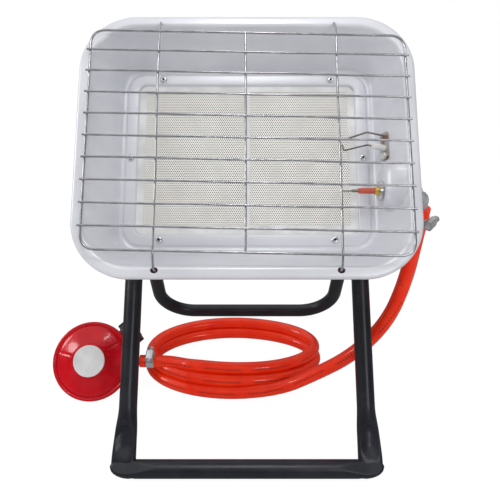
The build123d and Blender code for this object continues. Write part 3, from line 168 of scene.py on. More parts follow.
class Paint:
    """A material under construction."""

    def __init__(self, name, colour, roughness, metallic=0.0, **fixed):
        self.material = bpy.data.materials.new(name)
        self.material.use_nodes = True
        self.tree = self.material.node_tree
        self.shader = self.tree.nodes["Principled BSDF"]
        self.set("Base Color", (*colour, 1))
        self.set("Roughness", roughness)
        self.set("Metallic", metallic)
        for word, value in fixed.items():
            self.set(word.replace("_", " "), value)

    def set(self, socket, value):
        self.join(self.shader.inputs[socket], value)

    def join(self, socket, value):
        if isinstance(value, Wire):
            self.tree.links.new(value.socket, socket)
        else:
            socket.default_value = value

    def node(self, kind, settings=None, *values, out=0, sockets=None):
        """One node: settings first, then its sockets in order or by name or number."""
        made = self.tree.nodes.new(kind)
        for word, value in (settings or {}).items():
            setattr(made, word, value)
        for number, value in enumerate(values):
            self.join(made.inputs[number], value)
        for key, value in (sockets or {}).items():
            self.join(made.inputs[key], value)
        return Wire(self, made.outputs[out])

    def place(self):
        """Where the shaded point lies on the piece at rest."""
        return self.node("ShaderNodeTexCoord", out=3)

    def vectors(self, operation, first, second, out=0):
        return self.node("ShaderNodeVectorMath", {"operation": operation}, first, second, out=out)

    def along(self, direction, origin=(0, 0, 0)):
        """Distance in metres from a point, measured along a direction."""
        away = self.vectors("SUBTRACT", self.place(), tuple(origin))
        return self.vectors("DOT_PRODUCT", away, tuple(direction), out=1)

    def attribute(self, name):
        return self.node("ShaderNodeAttribute", {"attribute_name": name}, out=2)

    def noise(self, scale, detail=2.0, roughness=0.5):
        sockets = {"Vector": self.place(), "Scale": scale, "Detail": detail, "Roughness": roughness}
        return self.node("ShaderNodeTexNoise", sockets=sockets)

    def tint(self, factor, first, second):
        """Colour between two colours."""
        sides = [side if isinstance(side, Wire) else (*side, 1) for side in (first, second)]
        sockets = {0: factor, 6: sides[0], 7: sides[1]}
        return self.node("ShaderNodeMix", {"data_type": "RGBA"}, sockets=sockets, out=2)

    def bump(self, height, depth, strength=1.0):
        sockets = {"Height": height, "Distance": depth, "Strength": strength}
        self.set("Normal", self.node("ShaderNodeBump", sockets=sockets))


# %% [markdown]
# ## Finishes
# Each finish starts from a plain colour and gets what the real surface shows close up: orange
# peel in paint, fine drawing lines in steel wire, grain in ceramic, and slightly uneven gloss.


# %% Painted and plated metal
def silver_enamel():
    gloss = {"Coat_Weight": 0.6, "Coat_Roughness": 0.22}
    paint = Paint("silver_enamel", (0.68, 0.69, 0.74), 0.34, 0.15, **gloss)
    cloud = paint.noise(14, 3)
    grain = paint.noise(1500, 2, 0.7)
    paint.set("Base Color", paint.tint(cloud.step(0.3, 0.7), (0.64, 0.65, 0.70), (0.72, 0.73, 0.78)))
    paint.set("Roughness", 0.3 + cloud * 0.08 + grain * 0.08)
    paint.bump(grain + cloud * 0.4, 0.00009, 0.7)
    return paint.material


def black_enamel():
    paint = Paint("black_enamel", (0.013, 0.014, 0.02), 0.3, 0.0, Specular_IOR_Level=0.5)
    peel = paint.noise(420, 2)
    rub = paint.noise(35, 4, 0.6)
    paint.set("Base Color", paint.tint(rub.step(0.35, 0.75), (0.010, 0.011, 0.016), (0.017, 0.018, 0.026)))
    paint.set("Roughness", 0.27 + rub * 0.14)
    paint.bump(peel, 0.00012, 0.35)
    return paint.material


def plated(name, colour, roughness, metallic=0.95):
    """Bare or plated metal with fine marks and slightly uneven gloss."""
    paint = Paint(name, colour, roughness, metallic)
    marks = paint.noise(900, 3, 0.65)
    cloud = paint.noise(90, 3)
    darker = tuple(0.72 * part for part in colour)
    paint.set("Base Color", paint.tint(cloud.step(0.35, 0.7), darker, colour))
    paint.set("Roughness", roughness * 0.7 + marks * roughness * 0.6)
    paint.bump(marks, 0.00005, 0.5)
    return paint.material


def red_enamel():
    gloss = {"Specular_IOR_Level": 0.3, "Coat_Weight": 0.3, "Coat_Roughness": 0.08}
    paint = Paint("red_enamel", (0.54, 0.0, 0.006), 0.18, 0.0, **gloss)
    peel = paint.noise(380, 2)
    cloud = paint.noise(40, 2)
    paint.set("Base Color", paint.tint(cloud.step(0.3, 0.7), (0.47, 0.0, 0.006), (0.58, 0.002, 0.01)))
    paint.set("Roughness", 0.15 + cloud * 0.1)
    paint.bump(peel, 0.0001, 0.3)
    return paint.material


def steel_with_painted_recess_shade():
    """Bright screw heads, with shade painted near black into the middle of their recess."""
    paint = Paint("screw_steel", (0.8, 0.8, 0.82), 0.2, 0.8)
    marks = paint.noise(900, 3, 0.65)
    recess_shade = paint.attribute("recess")
    # painted shade: the recess is coloured near black, as the shade inside it
    paint.set("Base Color", paint.tint(recess_shade, (0.82, 0.82, 0.84), (0.03, 0.03, 0.03)))
    paint.set("Roughness", 0.16 + marks * 0.12 + recess_shade * 0.4)
    return paint.material


def heat_tinted(name, colour, rust, amount):
    """Steel that the flame has coloured brown in patches."""
    paint = Paint(name, colour, 0.38, 0.8)
    patches = paint.noise(160, 4, 0.65).step(0.62 - amount * 0.3, 0.68)
    paint.set("Base Color", paint.tint(patches, colour, rust))
    paint.set("Roughness", 0.3 + patches * 0.3)
    paint.set("Metallic", 0.85 - patches * 0.6)
    paint.bump(patches, 0.00005, 0.4)
    return paint.material


enamel, black, red = silver_enamel(), black_enamel(), red_enamel()
screw_steel = steel_with_painted_recess_shade()
tinted_wire = heat_tinted("heat_tinted_wire", (0.30, 0.27, 0.25), (0.16, 0.09, 0.06), 0.5)
rusty_plate = heat_tinted("rusty_bracket", (0.50, 0.48, 0.45), (0.20, 0.10, 0.06), 0.6)
zinc_wire = plated("zinc_wire", (0.56, 0.565, 0.59), 0.18, 0.75)
zinc = plated("zinc_plate", (0.66, 0.66, 0.68), 0.28, 0.6)
bright_zinc = plated("bright_zinc", (0.82, 0.82, 0.84), 0.14, 0.7)
steel = plated("burner_steel", (0.54, 0.54, 0.55), 0.36, 0.6)
brass = plated("turned_brass", (0.76, 0.55, 0.24), 0.26, 0.7)
copper = plated("copper_pipe", (0.66, 0.28, 0.14), 0.3, 0.7)
yellow_brass = plated("yellow_ring", (0.86, 0.68, 0.16), 0.25, 0.6)
print("metals ready")


# %% Ceramic, rubber and plastic
def grained(name, colour, roughness, scale=700, depth=0.0001, **fixed):
    """Matte or moulded surface with a fine grain."""
    paint = Paint(name, colour, roughness, 0.0, **fixed)
    grain = paint.noise(scale, 3, 0.6)
    cloud = paint.noise(60, 2)
    darker = tuple(0.82 * part for part in colour)
    paint.set("Base Color", paint.tint(cloud.step(0.3, 0.75), darker, colour))
    paint.set("Roughness", roughness - 0.06 + grain * 0.12)
    paint.bump(grain, depth, 0.5)
    return paint.material


porcelain = grained("white_porcelain", (0.86, 0.86, 0.84), 0.3, 300, 0.00004, Coat_Weight=0.4)
fibre = grained("ceramic_fibre", (0.82, 0.82, 0.82), 0.85, 900, 0.0003)
black_plastic = grained("black_plastic", (0.02, 0.02, 0.021), 0.42, 900, 0.0001)
red_plastic = grained("red_plastic", (0.5, 0.02, 0.015), 0.3, 500, 0.00005)
lead_rubber = grained("black_rubber", (0.03, 0.03, 0.033), 0.55, 700, 0.0001)
sleeve_red = grained("sleeve_red", (0.62, 0.09, 0.04), 0.22, 500, 0.00003, Coat_Weight=0.5)
badge_paint = grained("badge_paint", (0.72, 0.73, 0.72), 0.35, 600, 0.00003)
print("ceramics, rubbers and plastics ready")

# %% [markdown]
# ### Perforated ceramic
# A radiant plaque has thousands of fine holes in a staggered grid. Modelled holes would cost
# millions of faces, so the grid is drawn by a formula in the plaque's own plane: rows by the
# height, every second row shifted by half a pitch, and the distance to the nearest centre.
# Each hole is painted near black as the shade inside it, and a bump sinks it.


# %% Perforated ceramic
def perforated_ceramic():
    paint = Paint("perforated_ceramic", (0.8, 0.75, 0.64), 0.85, 0.0)
    pitch = 1.95 * mm
    hole_r, edge_r = 0.5 * mm, 0.58 * mm     # full dark within the first, ceramic beyond the second
    rows = pitch * 0.866
    x, y = paint.along((1, 0, 0)), paint.along(UP, HEAD_AT)
    row = y / rows
    shift = (row.whole() / 2).part()
    across = ((x / pitch + shift).part() - 0.5) * pitch
    down = (row.part() - 0.5) * rows
    distance = (across * across + down * down).power(0.5)
    shaded_hole = distance.step(edge_r, hole_r)
    cloud = paint.noise(38, 3)
    body = paint.tint(cloud.step(0.3, 0.7), (0.93, 0.905, 0.86), (0.98, 0.96, 0.92))
    # painted shade: each hole is coloured near black, as the shade inside it
    paint.set("Base Color", paint.tint(shaded_hole, body, (0.02, 0.017, 0.012)))
    paint.bump(1 - shaded_hole, 0.0008, 0.6)
    return paint.material


plaque_ceramic = perforated_ceramic()
print("perforated ceramic ready")

# %% [markdown]
# ### Orange hose
# Gas hose is glossy rubber over a braid that shows as fine crossing lines, with a broken black
# marking line. Both follow the hose, so they read two attributes of its mesh: the distance
# along it and the direction round it.


# %% Hose rubber
def hose_rubber():
    gloss = {"Specular_IOR_Level": 0.22, "Coat_Weight": 0.55, "Coat_Roughness": 0.1}
    paint = Paint("orange_hose", (0.92, 0.024, 0.001), 0.3, 0.0, **gloss)
    along, round_about = paint.attribute("along"), paint.attribute("round")
    braid_pitch, strands = 3.2 * mm, 9
    left = (along / braid_pitch + round_about * strands).part() - 0.5
    right = (along / braid_pitch - round_about * strands).part() - 0.5
    braid = left.size().step(0.28, 0.5) + right.size().step(0.28, 0.5)
    cloud = paint.noise(50, 2)
    # the marking: short dashes in groups on a narrow line
    dash_pitch, group_pitch = 3.6 * mm, 58 * mm
    dash = (along / dash_pitch).part().step(0.42, 0.5)
    group = (along / group_pitch).part().step(0.72, 0.7)
    line = (round_about + 0.2).size().step(0.075, 0.055)
    mark = dash * group * line
    rubber = paint.tint(cloud.step(0.3, 0.7), (0.90, 0.020, 0.001), (0.97, 0.034, 0.002))
    rubber = paint.tint(braid * 0.06, rubber, (1.0, 0.12, 0.02))
    paint.set("Base Color", paint.tint(mark * 0.65, rubber, (0.03, 0.012, 0.01)))
    paint.set("Roughness", 0.24 + braid * 0.06 + mark * 0.15)
    paint.bump(braid, 0.00012, 0.6)
    return paint.material


orange_rubber = hose_rubber()
print("hose rubber ready")

# %% [markdown]
# ## Helpers for modelling
# Every piece starts from a primitive or a curve. These helpers wrap the steps that repeat:
# choosing faces by a rule, moving vertices by a rule, turning, bending wire and finishing.


# %% Helpers
def new_piece(name):
    """Name the object that an operator has just added."""
    piece = bpy.context.object
    piece.name = piece.data.name = name
    return piece


def choose_faces(piece, rule):
    """Select the faces for which the rule holds, and stay in edit mode."""
    bpy.ops.object.mode_set(mode="EDIT")
    bpy.ops.mesh.select_mode(type="FACE")
    bpy.ops.mesh.select_all(action="DESELECT")
    bpy.ops.object.mode_set(mode="OBJECT")
    for face in piece.data.polygons:
        face.select = rule(face)
    bpy.ops.object.mode_set(mode="EDIT")


def done():
    """Leave edit mode."""
    bpy.ops.object.mode_set(mode="OBJECT")


def extrude(x=0.0, y=0.0, z=0.0):
    """Extrude the selected edges by a step in millimetres."""
    step = (x * mm, y * mm, z * mm)
    bpy.ops.mesh.extrude_edges_move(TRANSFORM_OT_translate={"value": step})


def select_only(piece):
    bpy.ops.object.select_all(action="DESELECT")
    piece.select_set(True)
    bpy.context.view_layer.objects.active = piece


def linked(name, data):
    """A new object in the scene, made from a mesh or a curve."""
    piece = bpy.data.objects.new(name, data)
    bpy.context.collection.objects.link(piece)
    return piece


def move_points(piece, rule):
    """Move each vertex to where the rule puts it."""
    for vertex in piece.data.vertices:
        vertex.co = rule(vertex.co.copy())
    piece.data.update()


def apply_modifier(piece, kind, **settings):
    modifier = piece.modifiers.new(kind.title(), kind)
    for word, value in settings.items():
        setattr(modifier, word, value)
    bpy.context.view_layer.objects.active = piece
    bpy.ops.object.modifier_apply(modifier=modifier.name)


def finish_piece(piece, material, body, matrix=None, smooth=40, outward=True):
    """Apply the place, smooth the shading, paint the piece and let it ride."""
    select_only(piece)
    bpy.ops.object.transform_apply(location=True, rotation=True, scale=True)
    if matrix is not None:
        piece.data.transform(matrix)
    bpy.ops.object.mode_set(mode="EDIT")
    bpy.ops.mesh.select_all(action="SELECT")
    bpy.ops.mesh.remove_doubles(threshold=0.005 * mm)
    if outward:
        bpy.ops.mesh.normals_make_consistent(inside=False)
    bpy.ops.object.mode_set(mode="OBJECT")
    bpy.ops.object.shade_smooth_by_angle(angle=math.radians(smooth))
    piece.data.materials.clear()
    piece.data.materials.append(material)
    if body:
        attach(piece, body)
    print(piece.name, len(piece.data.polygons), "faces")


def circle(name, radius, segments, fill, place=(0, 0, 0), rotation=(0, 0, 0)):
    """A circle, sizes in millimetres, in edit mode with all its edges selected."""
    bpy.ops.mesh.primitive_circle_add(
        vertices=segments, radius=radius * mm, fill_type=fill, rotation=rotation,
    )
    piece = new_piece(name)
    piece.location = Vector(place) * mm
    bpy.ops.object.transform_apply(location=True, rotation=True)
    bpy.ops.object.mode_set(mode="EDIT")
    bpy.ops.mesh.select_mode(type="EDGE")
    bpy.ops.mesh.select_all(action="SELECT")
    return piece


def turned(name, rings, segments=48):
    """A turned piece: a circle that is extruded and scaled ring by ring along Z."""
    radius, height = rings[0]
    piece = circle(name, radius, segments, "NGON", (0, 0, height))
    for ring_radius, ring_height in rings[1:]:
        extrude(z=ring_height - height)
        scale = ring_radius / radius
        middle = (0, 0, ring_height * mm)
        bpy.ops.transform.resize(value=(scale, scale, 1), center_override=middle)
        radius, height = ring_radius, ring_height
    bpy.ops.mesh.edge_face_add()
    done()
    return piece


def curve_through(name, points, smoothness, closed=False):
    """A NURBS curve of order 3 that follows a short list of points."""
    shape = bpy.data.curves.new(name, "CURVE")
    shape.dimensions = "3D"
    spline = shape.splines.new("NURBS")
    spline.points.add(len(points) - 1)
    for point, place in zip(spline.points, points):
        point.co = (*place, 1)
    spline.order_u = 3
    spline.use_cyclic_u, spline.use_endpoint_u = closed, not closed
    spline.resolution_u = smoothness
    return shape


def wire_piece(name, points, radius, closed=False):
    """A round wire along a few points; a closed one is a ring with a finer section."""
    shape = curve_through(name, points, 10 if closed else 6, closed)
    shape.bevel_depth, shape.bevel_resolution = radius * mm, 3 if closed else 2
    shape.use_fill_caps = not closed
    select_only(linked(name, shape))
    bpy.ops.object.convert(target="MESH")
    return bpy.context.object


def joined(name, pieces):
    """Several meshes as one."""
    bpy.ops.object.select_all(action="DESELECT")
    for piece in pieces:
        piece.select_set(True)
    bpy.context.view_layer.objects.active = pieces[0]
    bpy.ops.object.join()
    return new_piece(name)


print("helpers ready")

# %% [markdown]
# ## The hose
# One length of hose leaves the valve's nozzle, drops in an easy curve behind the right front
# leg, lies in a coil of a little over two turns and ends on the regulator's nozzle. Its route
# is a short list of points that a NURBS spline of order 3 turns into one smooth line.

# %% Route of the hose
down_head = Vector((0, -1, -1)).normalized()
elbow = HEAD @ (Vector((163, -38, 8)) * mm)
hose_dir = (HEAD.to_3x3() @ down_head).normalized()
hose_top = elbow + hose_dir * 14 * mm
drop = [(168.5, -32, 160), (150, -48, 116), (115, -53, 76), (75, -40, 38), (40, -34, 13.5)]
coil = []
# front, left, back and right of each turn: how far out it lies; and how high the turn lies
turns = [(-36, -126.5, 91, 91, 7.6), (-28.5, -126.0, 98, 90, 19.3), (-19, -124.0, 99, 92, 30.2)]
TURN_POINTS = 12                     # for a full turn
LAST_POINTS = 2                      # of the third turn, where the hose leaves the coil
LEVEL_SHARE = 0.6                    # of a turn, before it climbs to the next
for number, (front, left, back, right, height) in enumerate(turns):
    last_turn = number == len(turns) - 1
    next_front, *_, next_height = turns[number if last_turn else number + 1]
    for step in range(LAST_POINTS if last_turn else TURN_POINTS):
        share = step / TURN_POINTS
        angle = math.radians(360 / TURN_POINTS * step)
        near = front + (next_front - front) * (share if share > 0.5 else 0)
        climb = max(0.0, share - LEVEL_SHARE) / (1 - LEVEL_SHARE)
        x = (left + right) / 2 - (right - left) / 2 * math.sin(angle)
        y = (near + back) / 2 - (back - near) / 2 * math.cos(angle)
        coil.append((x, y, height + (next_height - height) * climb))
outlet = REG @ (Vector((54, 0, -19)) * mm)
tail = [(-76, -7, 28.0)]
hose_points = [hose_top, hose_top + hose_dir * 38 * mm]
hose_points += [Vector(p) * mm for p in drop + coil + tail]
hose_points += [outlet + Vector((32, 0, 0)) * mm, outlet]
print("hose route", len(hose_points), "points")

# %% Hose mesh


def smooth_line(points):
    """The curve that follows a route, as a list of close points."""
    holder = linked("route", curve_through("route", points, 12))
    bpy.context.view_layer.update()
    line = bpy.data.meshes.new_from_object(holder)
    places = [vertex.co.copy() for vertex in line.vertices]
    bpy.data.objects.remove(holder)
    return places


def tube_mesh(name, line, radius, around=28):
    """A tube round a line, with the distance along it and the turn round it as attributes."""
    places, faces, along, about = [], [], [], []
    travelled = 0.0
    for i, centre in enumerate(line):
        after, before = line[min(i + 1, len(line) - 1)], line[max(i - 1, 0)]
        ahead = (after - before).normalized()
        side = ahead.cross(Vector((0, 0, 1)))
        side = side.normalized() if side.length > 1e-4 else Vector((1, 0, 0))
        over = side.cross(ahead).normalized()
        if i:
            travelled += (centre - line[i - 1]).length
        for k in range(around):
            turn = 2 * math.pi * k / around
            places.append(centre + (over * math.cos(turn) + side * math.sin(turn)) * radius)
            along.append(travelled)
            about.append(math.sin(turn / 2 + math.pi / 4))
    for i in range(len(line) - 1):
        for k in range(around):
            a, b = i * around + k, i * around + (k + 1) % around
            faces.append((a, b, b + around, a + around))
    faces.append(tuple(range(around))[::-1])
    last = (len(line) - 1) * around
    faces.append(tuple(last + k for k in range(around)))
    mesh = bpy.data.meshes.new(name)
    mesh.from_pydata(places, [], faces)
    for word, values in (("along", along), ("round", about)):
        mesh.attributes.new(word, "FLOAT", "POINT").data.foreach_set("value", values)
    return linked(name, mesh), travelled


hose_line = smooth_line(hose_points)
hose, hose_length = tube_mesh("gas_hose", hose_line, HOSE_R * mm)
finish_piece(hose, orange_rubber, None, smooth=60)
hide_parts("hose_drop", "hose_coil", "hose_tail")
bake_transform(hose)
HOSE_FITTINGS = ["valve_clamp", "valve_clamp_screw", "regulator_clamp", "regulator_clamp_screw"]
print("hose length", round(hose_length, 3), "lowest", min(p.z for p in hose_line))

# %% [markdown]
# ## Stand
# Both frames are black tube. The rear one is the solid itself. The front legs are crushed
# where they meet the foot bar, so the lower end is modelled anew: a copy of the solid is cut
# above the crush, and a leg is extruded ring by ring, then pressed in by a rule.

# %% Front frame, upper part
LEG_CUT = 66                         # up the leg from the foot bar, in millimetres
upper = linked("front_legs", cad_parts["front_frame"].data.copy())
select_only(upper)
bpy.ops.object.mode_set(mode="EDIT")
bpy.ops.mesh.select_all(action="SELECT")
bpy.ops.mesh.remove_doubles(threshold=0.01 * mm)
leg_up = FRONT.to_3x3() @ Vector((0, 1, 0))
cut_at = FRONT @ Vector((0, LEG_CUT * mm, 0))
bpy.ops.mesh.bisect(plane_co=tuple(cut_at), plane_no=tuple(leg_up), clear_inner=True)
done()
print("upper legs", len(upper.data.polygons), "faces")


# %% Crushed lower legs
def ease(value, low, high):
    """0 before low and 1 after high, smooth between; low may be the larger one."""
    share = min(1.0, max(0.0, (value - low) / (high - low)))
    return share * share * (3 - 2 * share)


DENT_TOP, DENT_HALF, DENT_DEPTH = 47, 9.6, 5.6
DENT_ASIDE = 1.5                     # the dent lies a little outside the leg's middle
FLAT_BACK = -1.0                     # what lies behind this stays out of the dent


def crushed(point, side):
    """Press the leg flat, let its outer edge swell and dent its front, as a tool does.

    Here a runs across the leg from its middle, v up along it and w out of its front.
    """
    a, v, w = point.x / mm - side * LEG_X, point.y / mm, point.z / mm
    press = ease(v, 60, 36)
    outer_edge = a * side > 0
    a *= 1 + (0.18 * press + 0.4 * ease(v, 56, 2) if outer_edge else 0.12 * press)
    w *= 1 - 0.25 * press
    if w > FLAT_BACK:
        middle = a - side * DENT_ASIDE
        arch = DENT_TOP - 0.12 * middle * middle
        dent = ease(v, arch, arch - 11) * max(0.0, 1 - (middle / DENT_HALF) ** 2) ** 1.1
        dent *= 1 - 0.6 * ease(v, 24, 6)
        w -= DENT_DEPTH * dent * ease(w, FLAT_BACK, 5.0)
    return Vector(((a + side * LEG_X) * mm, v * mm, w * mm))


LEG_OVERLAP = 2                      # how far the new piece reaches into the cut leg
LEG_RINGS, LEG_STEP = 46, 1.5
lower_legs = []
for side in (-1, 1):
    top = (side * LEG_X, LEG_CUT + LEG_OVERLAP, 0)
    leg = circle("lower_leg", TUBE_R, 96, "NOTHING", top, rotation=(math.pi / 2, 0, 0))
    for _ in range(LEG_RINGS):
        extrude(y=-LEG_STEP)
    done()
    move_points(leg, lambda point: crushed(point, side))
    lower_legs.append(leg)
print("lower legs", len(lower_legs[0].data.vertices), "points each")


# %% Foot bar
BAR_END, BAR_RINGS, BAR_STEP = 134.4, 168, 1.6
ROUND_FROM, ROUND_LENGTH = 114, 20.5     # where an end starts to close, and over what length
WEDGE_FACING = Vector((0, -0.55, 0.835))
NOTCH_X, NOTCH_WIDTH, NOTCH_DEPTH = 112.5, 1.6, 0.9


def foot_shape(point):
    """Round the ends off, flatten the upper front of each end and nick its underside."""
    x, y, z = point.x / mm, point.y / mm, point.z / mm
    far = abs(x)
    end = max(0.0, far - ROUND_FROM) / ROUND_LENGTH
    shrink = max(0.0, 1 - end ** 2.4) ** (1 / 2.2)
    lift = 3.2 * min(1.0, end) ** 2
    y, z = y * shrink, z * shrink + lift
    flat = TUBE_R - 2.6 * ease(far, 88, 122)
    beyond = y * WEDGE_FACING.y + z * WEDGE_FACING.z - flat
    if beyond > 0:
        y, z = y - beyond * WEDGE_FACING.y, z - beyond * WEDGE_FACING.z
    if z < -4:
        z += math.exp(-((far - NOTCH_X) / NOTCH_WIDTH) ** 2) * NOTCH_DEPTH
    return Vector((x, y + FOOT_AT.y, z + FOOT_AT.z)) * mm


bar = circle("foot_bar", TUBE_R, 72, "NGON", (-BAR_END, 0, 0), rotation=(0, math.pi / 2, 0))
for _ in range(BAR_RINGS):
    extrude(x=BAR_STEP)
bpy.ops.mesh.edge_face_add()
done()
move_points(bar, foot_shape)
for leg in lower_legs:
    leg.data.transform(FRONT)
front = joined("front_stand", [upper] + lower_legs + [bar])
finish_piece(front, black, "stand", smooth=50)
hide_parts("front_frame")

# %% [markdown]
# ## Reflector
# The reflector is drawn from one sheet. Its section is a list of points, from the lip round
# the rim, down the wall and over two low steps to the window, and every bend in it is a short
# curve. A rounded rectangle is extruded once for each point, and the new ring of vertices is
# laid out anew with the radius that the corner has there, as a press would leave it.


# %% Section of the reflector
def bend(start, corner, end, steps=6):
    """Points on a soft bend of the section, from one straight run into the next."""
    points = []
    for step in range(steps + 1):
        t = step / steps
        runs = zip(start, corner, end)
        points.append(tuple((1 - t) ** 2 * a + 2 * t * (1 - t) * c + t * t * b for a, c, b in runs))
    return points


WALL_TOP, WALL_FOOT = 38.2, 3.9      # heights between which the wall is straight
# in from the rim's edge, height over the tray floor, and radius of the corners
section = [(0, LIP_Z, RIM_CORNER)]
section += bend((0, 37.8, RIM_CORNER), (0, RIM_Z, RIM_CORNER), (3.2, RIM_Z, 47.5))
section += bend((7.2, RIM_Z, 43.5), (10.1, RIM_Z, 40.5), (11.3, WALL_TOP, 39.5))
section += bend((27.2, WALL_FOOT, 24.5), (29.4, -0.8, 22), (32.8, -0.8, 19), 9)
section += bend((33.7, -0.8, 18), (34.3, -0.8, 17.5), (34.7, -0.35, 17), 3)
section += bend((34.8, -0.25, 16.9), (35.2, 0.1, 16.5), (35.9, 0.1, 16), 3)
section += bend((43.8, 0.1, 9.0), (45.4, 0.1, 7.6), (45.6, -3.0, 7.4), 5)
print("section", len(section), "points")


# %% Reflector tray
def lay_ring(piece, inward, height, radius, last):
    """Move the selected ring from where the last one lies to its own place."""
    last_inward, _, last_radius = last
    done()
    for vertex in piece.data.vertices:
        if not vertex.select:
            continue
        co = vertex.co
        for axis, half in enumerate((RIM_W / 2, RIM_H / 2)):
            turn = (abs(co[axis]) / mm - (half - last_inward - last_radius)) / last_radius
            place = half - inward - radius + radius * min(1.0, max(0.0, turn))
            co[axis] = math.copysign(place * mm, co[axis])
        co.z = height * mm
    bpy.ops.object.mode_set(mode="EDIT")


bpy.ops.object.select_all(action="DESELECT")
bpy.ops.mesh.primitive_plane_add(size=1, location=(0, 0, LIP_Z * mm))
tray = new_piece("reflector")
tray.scale = (RIM_W * mm, RIM_H * mm, 1)
bpy.ops.object.transform_apply(location=True, scale=True)
bpy.ops.object.mode_set(mode="EDIT")
bpy.ops.mesh.select_mode(type="VERT")
bpy.ops.mesh.select_all(action="SELECT")
bpy.ops.mesh.bevel(offset=RIM_CORNER * mm, segments=22, affect="VERTICES", profile=0.5)
bpy.ops.mesh.select_all(action="SELECT")
bpy.ops.mesh.delete(type="ONLY_FACE")
bpy.ops.mesh.select_mode(type="EDGE")
bpy.ops.mesh.select_all(action="SELECT")
for last, (inward, height, radius) in zip(section, section[1:]):
    extrude()
    lay_ring(tray, inward, height, radius, last)
bpy.ops.mesh.select_all(action="SELECT")
bpy.ops.mesh.flip_normals()
done()
print("reflector", len(tray.data.polygons), "faces")

# %% [markdown]
# The right wall carries a blister, pushed in by the press to make room for the valve behind
# it. Two cuts part off the wall's middle, which is then subdivided finely, and its vertices
# are moved in to a rounded swelling, longer than it is high. Two oval holes in the rim take
# the guard's lower hooks.

# %% Blister
BLISTER_CUTS = (-61, -5)
BLISTER_X, BLISTER_Y, BLISTER_Z = 119.2, -32, 20.6     # the middle of its face
BLISTER_R, BLISTER_STRAIGHT = 17.2, 6.8                # its round ends, and half of what is between
BLISTER_FROM_X = 115                 # what lies nearer to the middle stays where it is


def right_wall(face):
    return face.normal.x < -0.7 and face.area > 500 * mm * mm


def between_cuts(face):
    middle = sum(BLISTER_CUTS) / 2
    return right_wall(face) and abs(face.center.y - middle * mm) < 5 * mm


def blistered(co):
    """Press the wall in to a rounded swelling whose plan is a slot with round ends."""
    x, y, z = co.x / mm, co.y / mm, co.z / mm
    if x < BLISTER_FROM_X or not WALL_FOOT <= z <= WALL_TOP:
        return co
    aside = max(abs(y - BLISTER_Y) - BLISTER_STRAIGHT, 0)
    off = math.hypot(aside, z - BLISTER_Z) / BLISTER_R
    share = max(0.0, 1 - off ** 2.4) ** 0.6
    return Vector(((x - max(0.0, x - BLISTER_X) * share) * mm, co.y, co.z))


for cut in BLISTER_CUTS:
    choose_faces(tray, right_wall)
    bpy.ops.mesh.bisect(plane_co=(0, cut * mm, 0), plane_no=(0, 1, 0))
    done()
choose_faces(tray, between_cuts)
bpy.ops.mesh.subdivide(number_cuts=42)
done()
move_points(tray, blistered)
finish_piece(tray, enamel, None, smooth=35, outward=False)
apply_modifier(tray, "SOLIDIFY", thickness=1 * mm, offset=-1)
for side in (-1, 1):
    place = ((GUARD_X + side * HOOK_X) * mm, -HOOK_Y * mm, RIM_Z * mm)
    bpy.ops.mesh.primitive_cylinder_add(vertices=40, radius=1, depth=4 * mm, location=place)
    punch = new_piece("punch")
    punch.scale = (3.2 * mm, 2.6 * mm, 1)
    apply_modifier(tray, "BOOLEAN", object=punch, operation="DIFFERENCE", solver="EXACT")
    bpy.data.objects.remove(punch)
select_only(tray)
bpy.ops.object.shade_smooth_by_angle(angle=math.radians(35))
tray.data.transform(HEAD)
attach(tray, "head")
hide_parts("reflector_tray")
print("reflector", len(tray.data.polygons), "faces with its blister")

# %% [markdown]
# ## Plaques
# Each plaque is a block with a narrow chamfer and a slight lip, and the holes, with their painted
# shade, are in its finish. The fibre packing between them stays as the solid.

# %% Ceramic plaques
PLAQUE_SIZE = Vector((93, 132, 13)) * mm
PLAQUE_X, PLAQUE_Y, PLAQUE_Z = 49.3, 1.4, -8.5
for side, word in ((-1, "left"), (1, "right")):
    bpy.ops.object.select_all(action="DESELECT")
    place = Vector((side * PLAQUE_X, PLAQUE_Y, PLAQUE_Z)) * mm
    bpy.ops.mesh.primitive_cube_add(size=1, location=place)
    block = new_piece(f"plaque_{word}")
    block.scale = PLAQUE_SIZE
    bpy.ops.object.transform_apply(location=True, scale=True)
    choose_faces(block, lambda face: face.normal.z > 0.9)
    bpy.ops.mesh.inset(thickness=0.7 * mm, depth=0)
    bpy.ops.mesh.inset(thickness=0.3 * mm, depth=-0.2 * mm)
    done()
    apply_modifier(block, "BEVEL", width=0.4 * mm, segments=2, limit_method="ANGLE")
    finish_piece(block, plaque_ceramic, "head", HEAD)
    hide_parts(f"ceramic_plaque_{word}")

# %% [markdown]
# ## Wire guard
# The guard is zinc-plated wire welded up by hand, so its bars are not quite straight and fall
# off a little to the right. Each wire is a curve with a small bow of its own, turned into a
# mesh, and the outer uprights end in hooks through the rim.


# %% Guard
GUARD_HALF_W, GUARD_HALF_H, GUARD_CORNER = 136.5, 97.3, 27.0     # to the middle of the ring's wire
GUARD_Z, BARS_Z = 50, 52             # the nine bars are welded onto the ring
BAR_REACH, BAR_PITCH = 139, 19.46
RING_R, BAR_R = 1.1, 1.0             # radii of the two wires


def guard_point(x, y, z):
    """A point of the guard, which hangs a little low and falls off to the right."""
    return Vector((GUARD_X + x, y - 1.2 - 0.021 * x, z)) * mm


def guard_ring():
    points = []
    for sx, sy in ((1, 1), (-1, 1), (-1, -1), (1, -1)):
        x, y = sx * GUARD_HALF_W, sy * GUARD_HALF_H
        corner = [(x, y - sy * GUARD_CORNER), (x, y), (x - sx * GUARD_CORNER, y)]
        points += corner if sx == sy else corner[::-1]
    return [guard_point(x, y, GUARD_Z) for x, y in points]


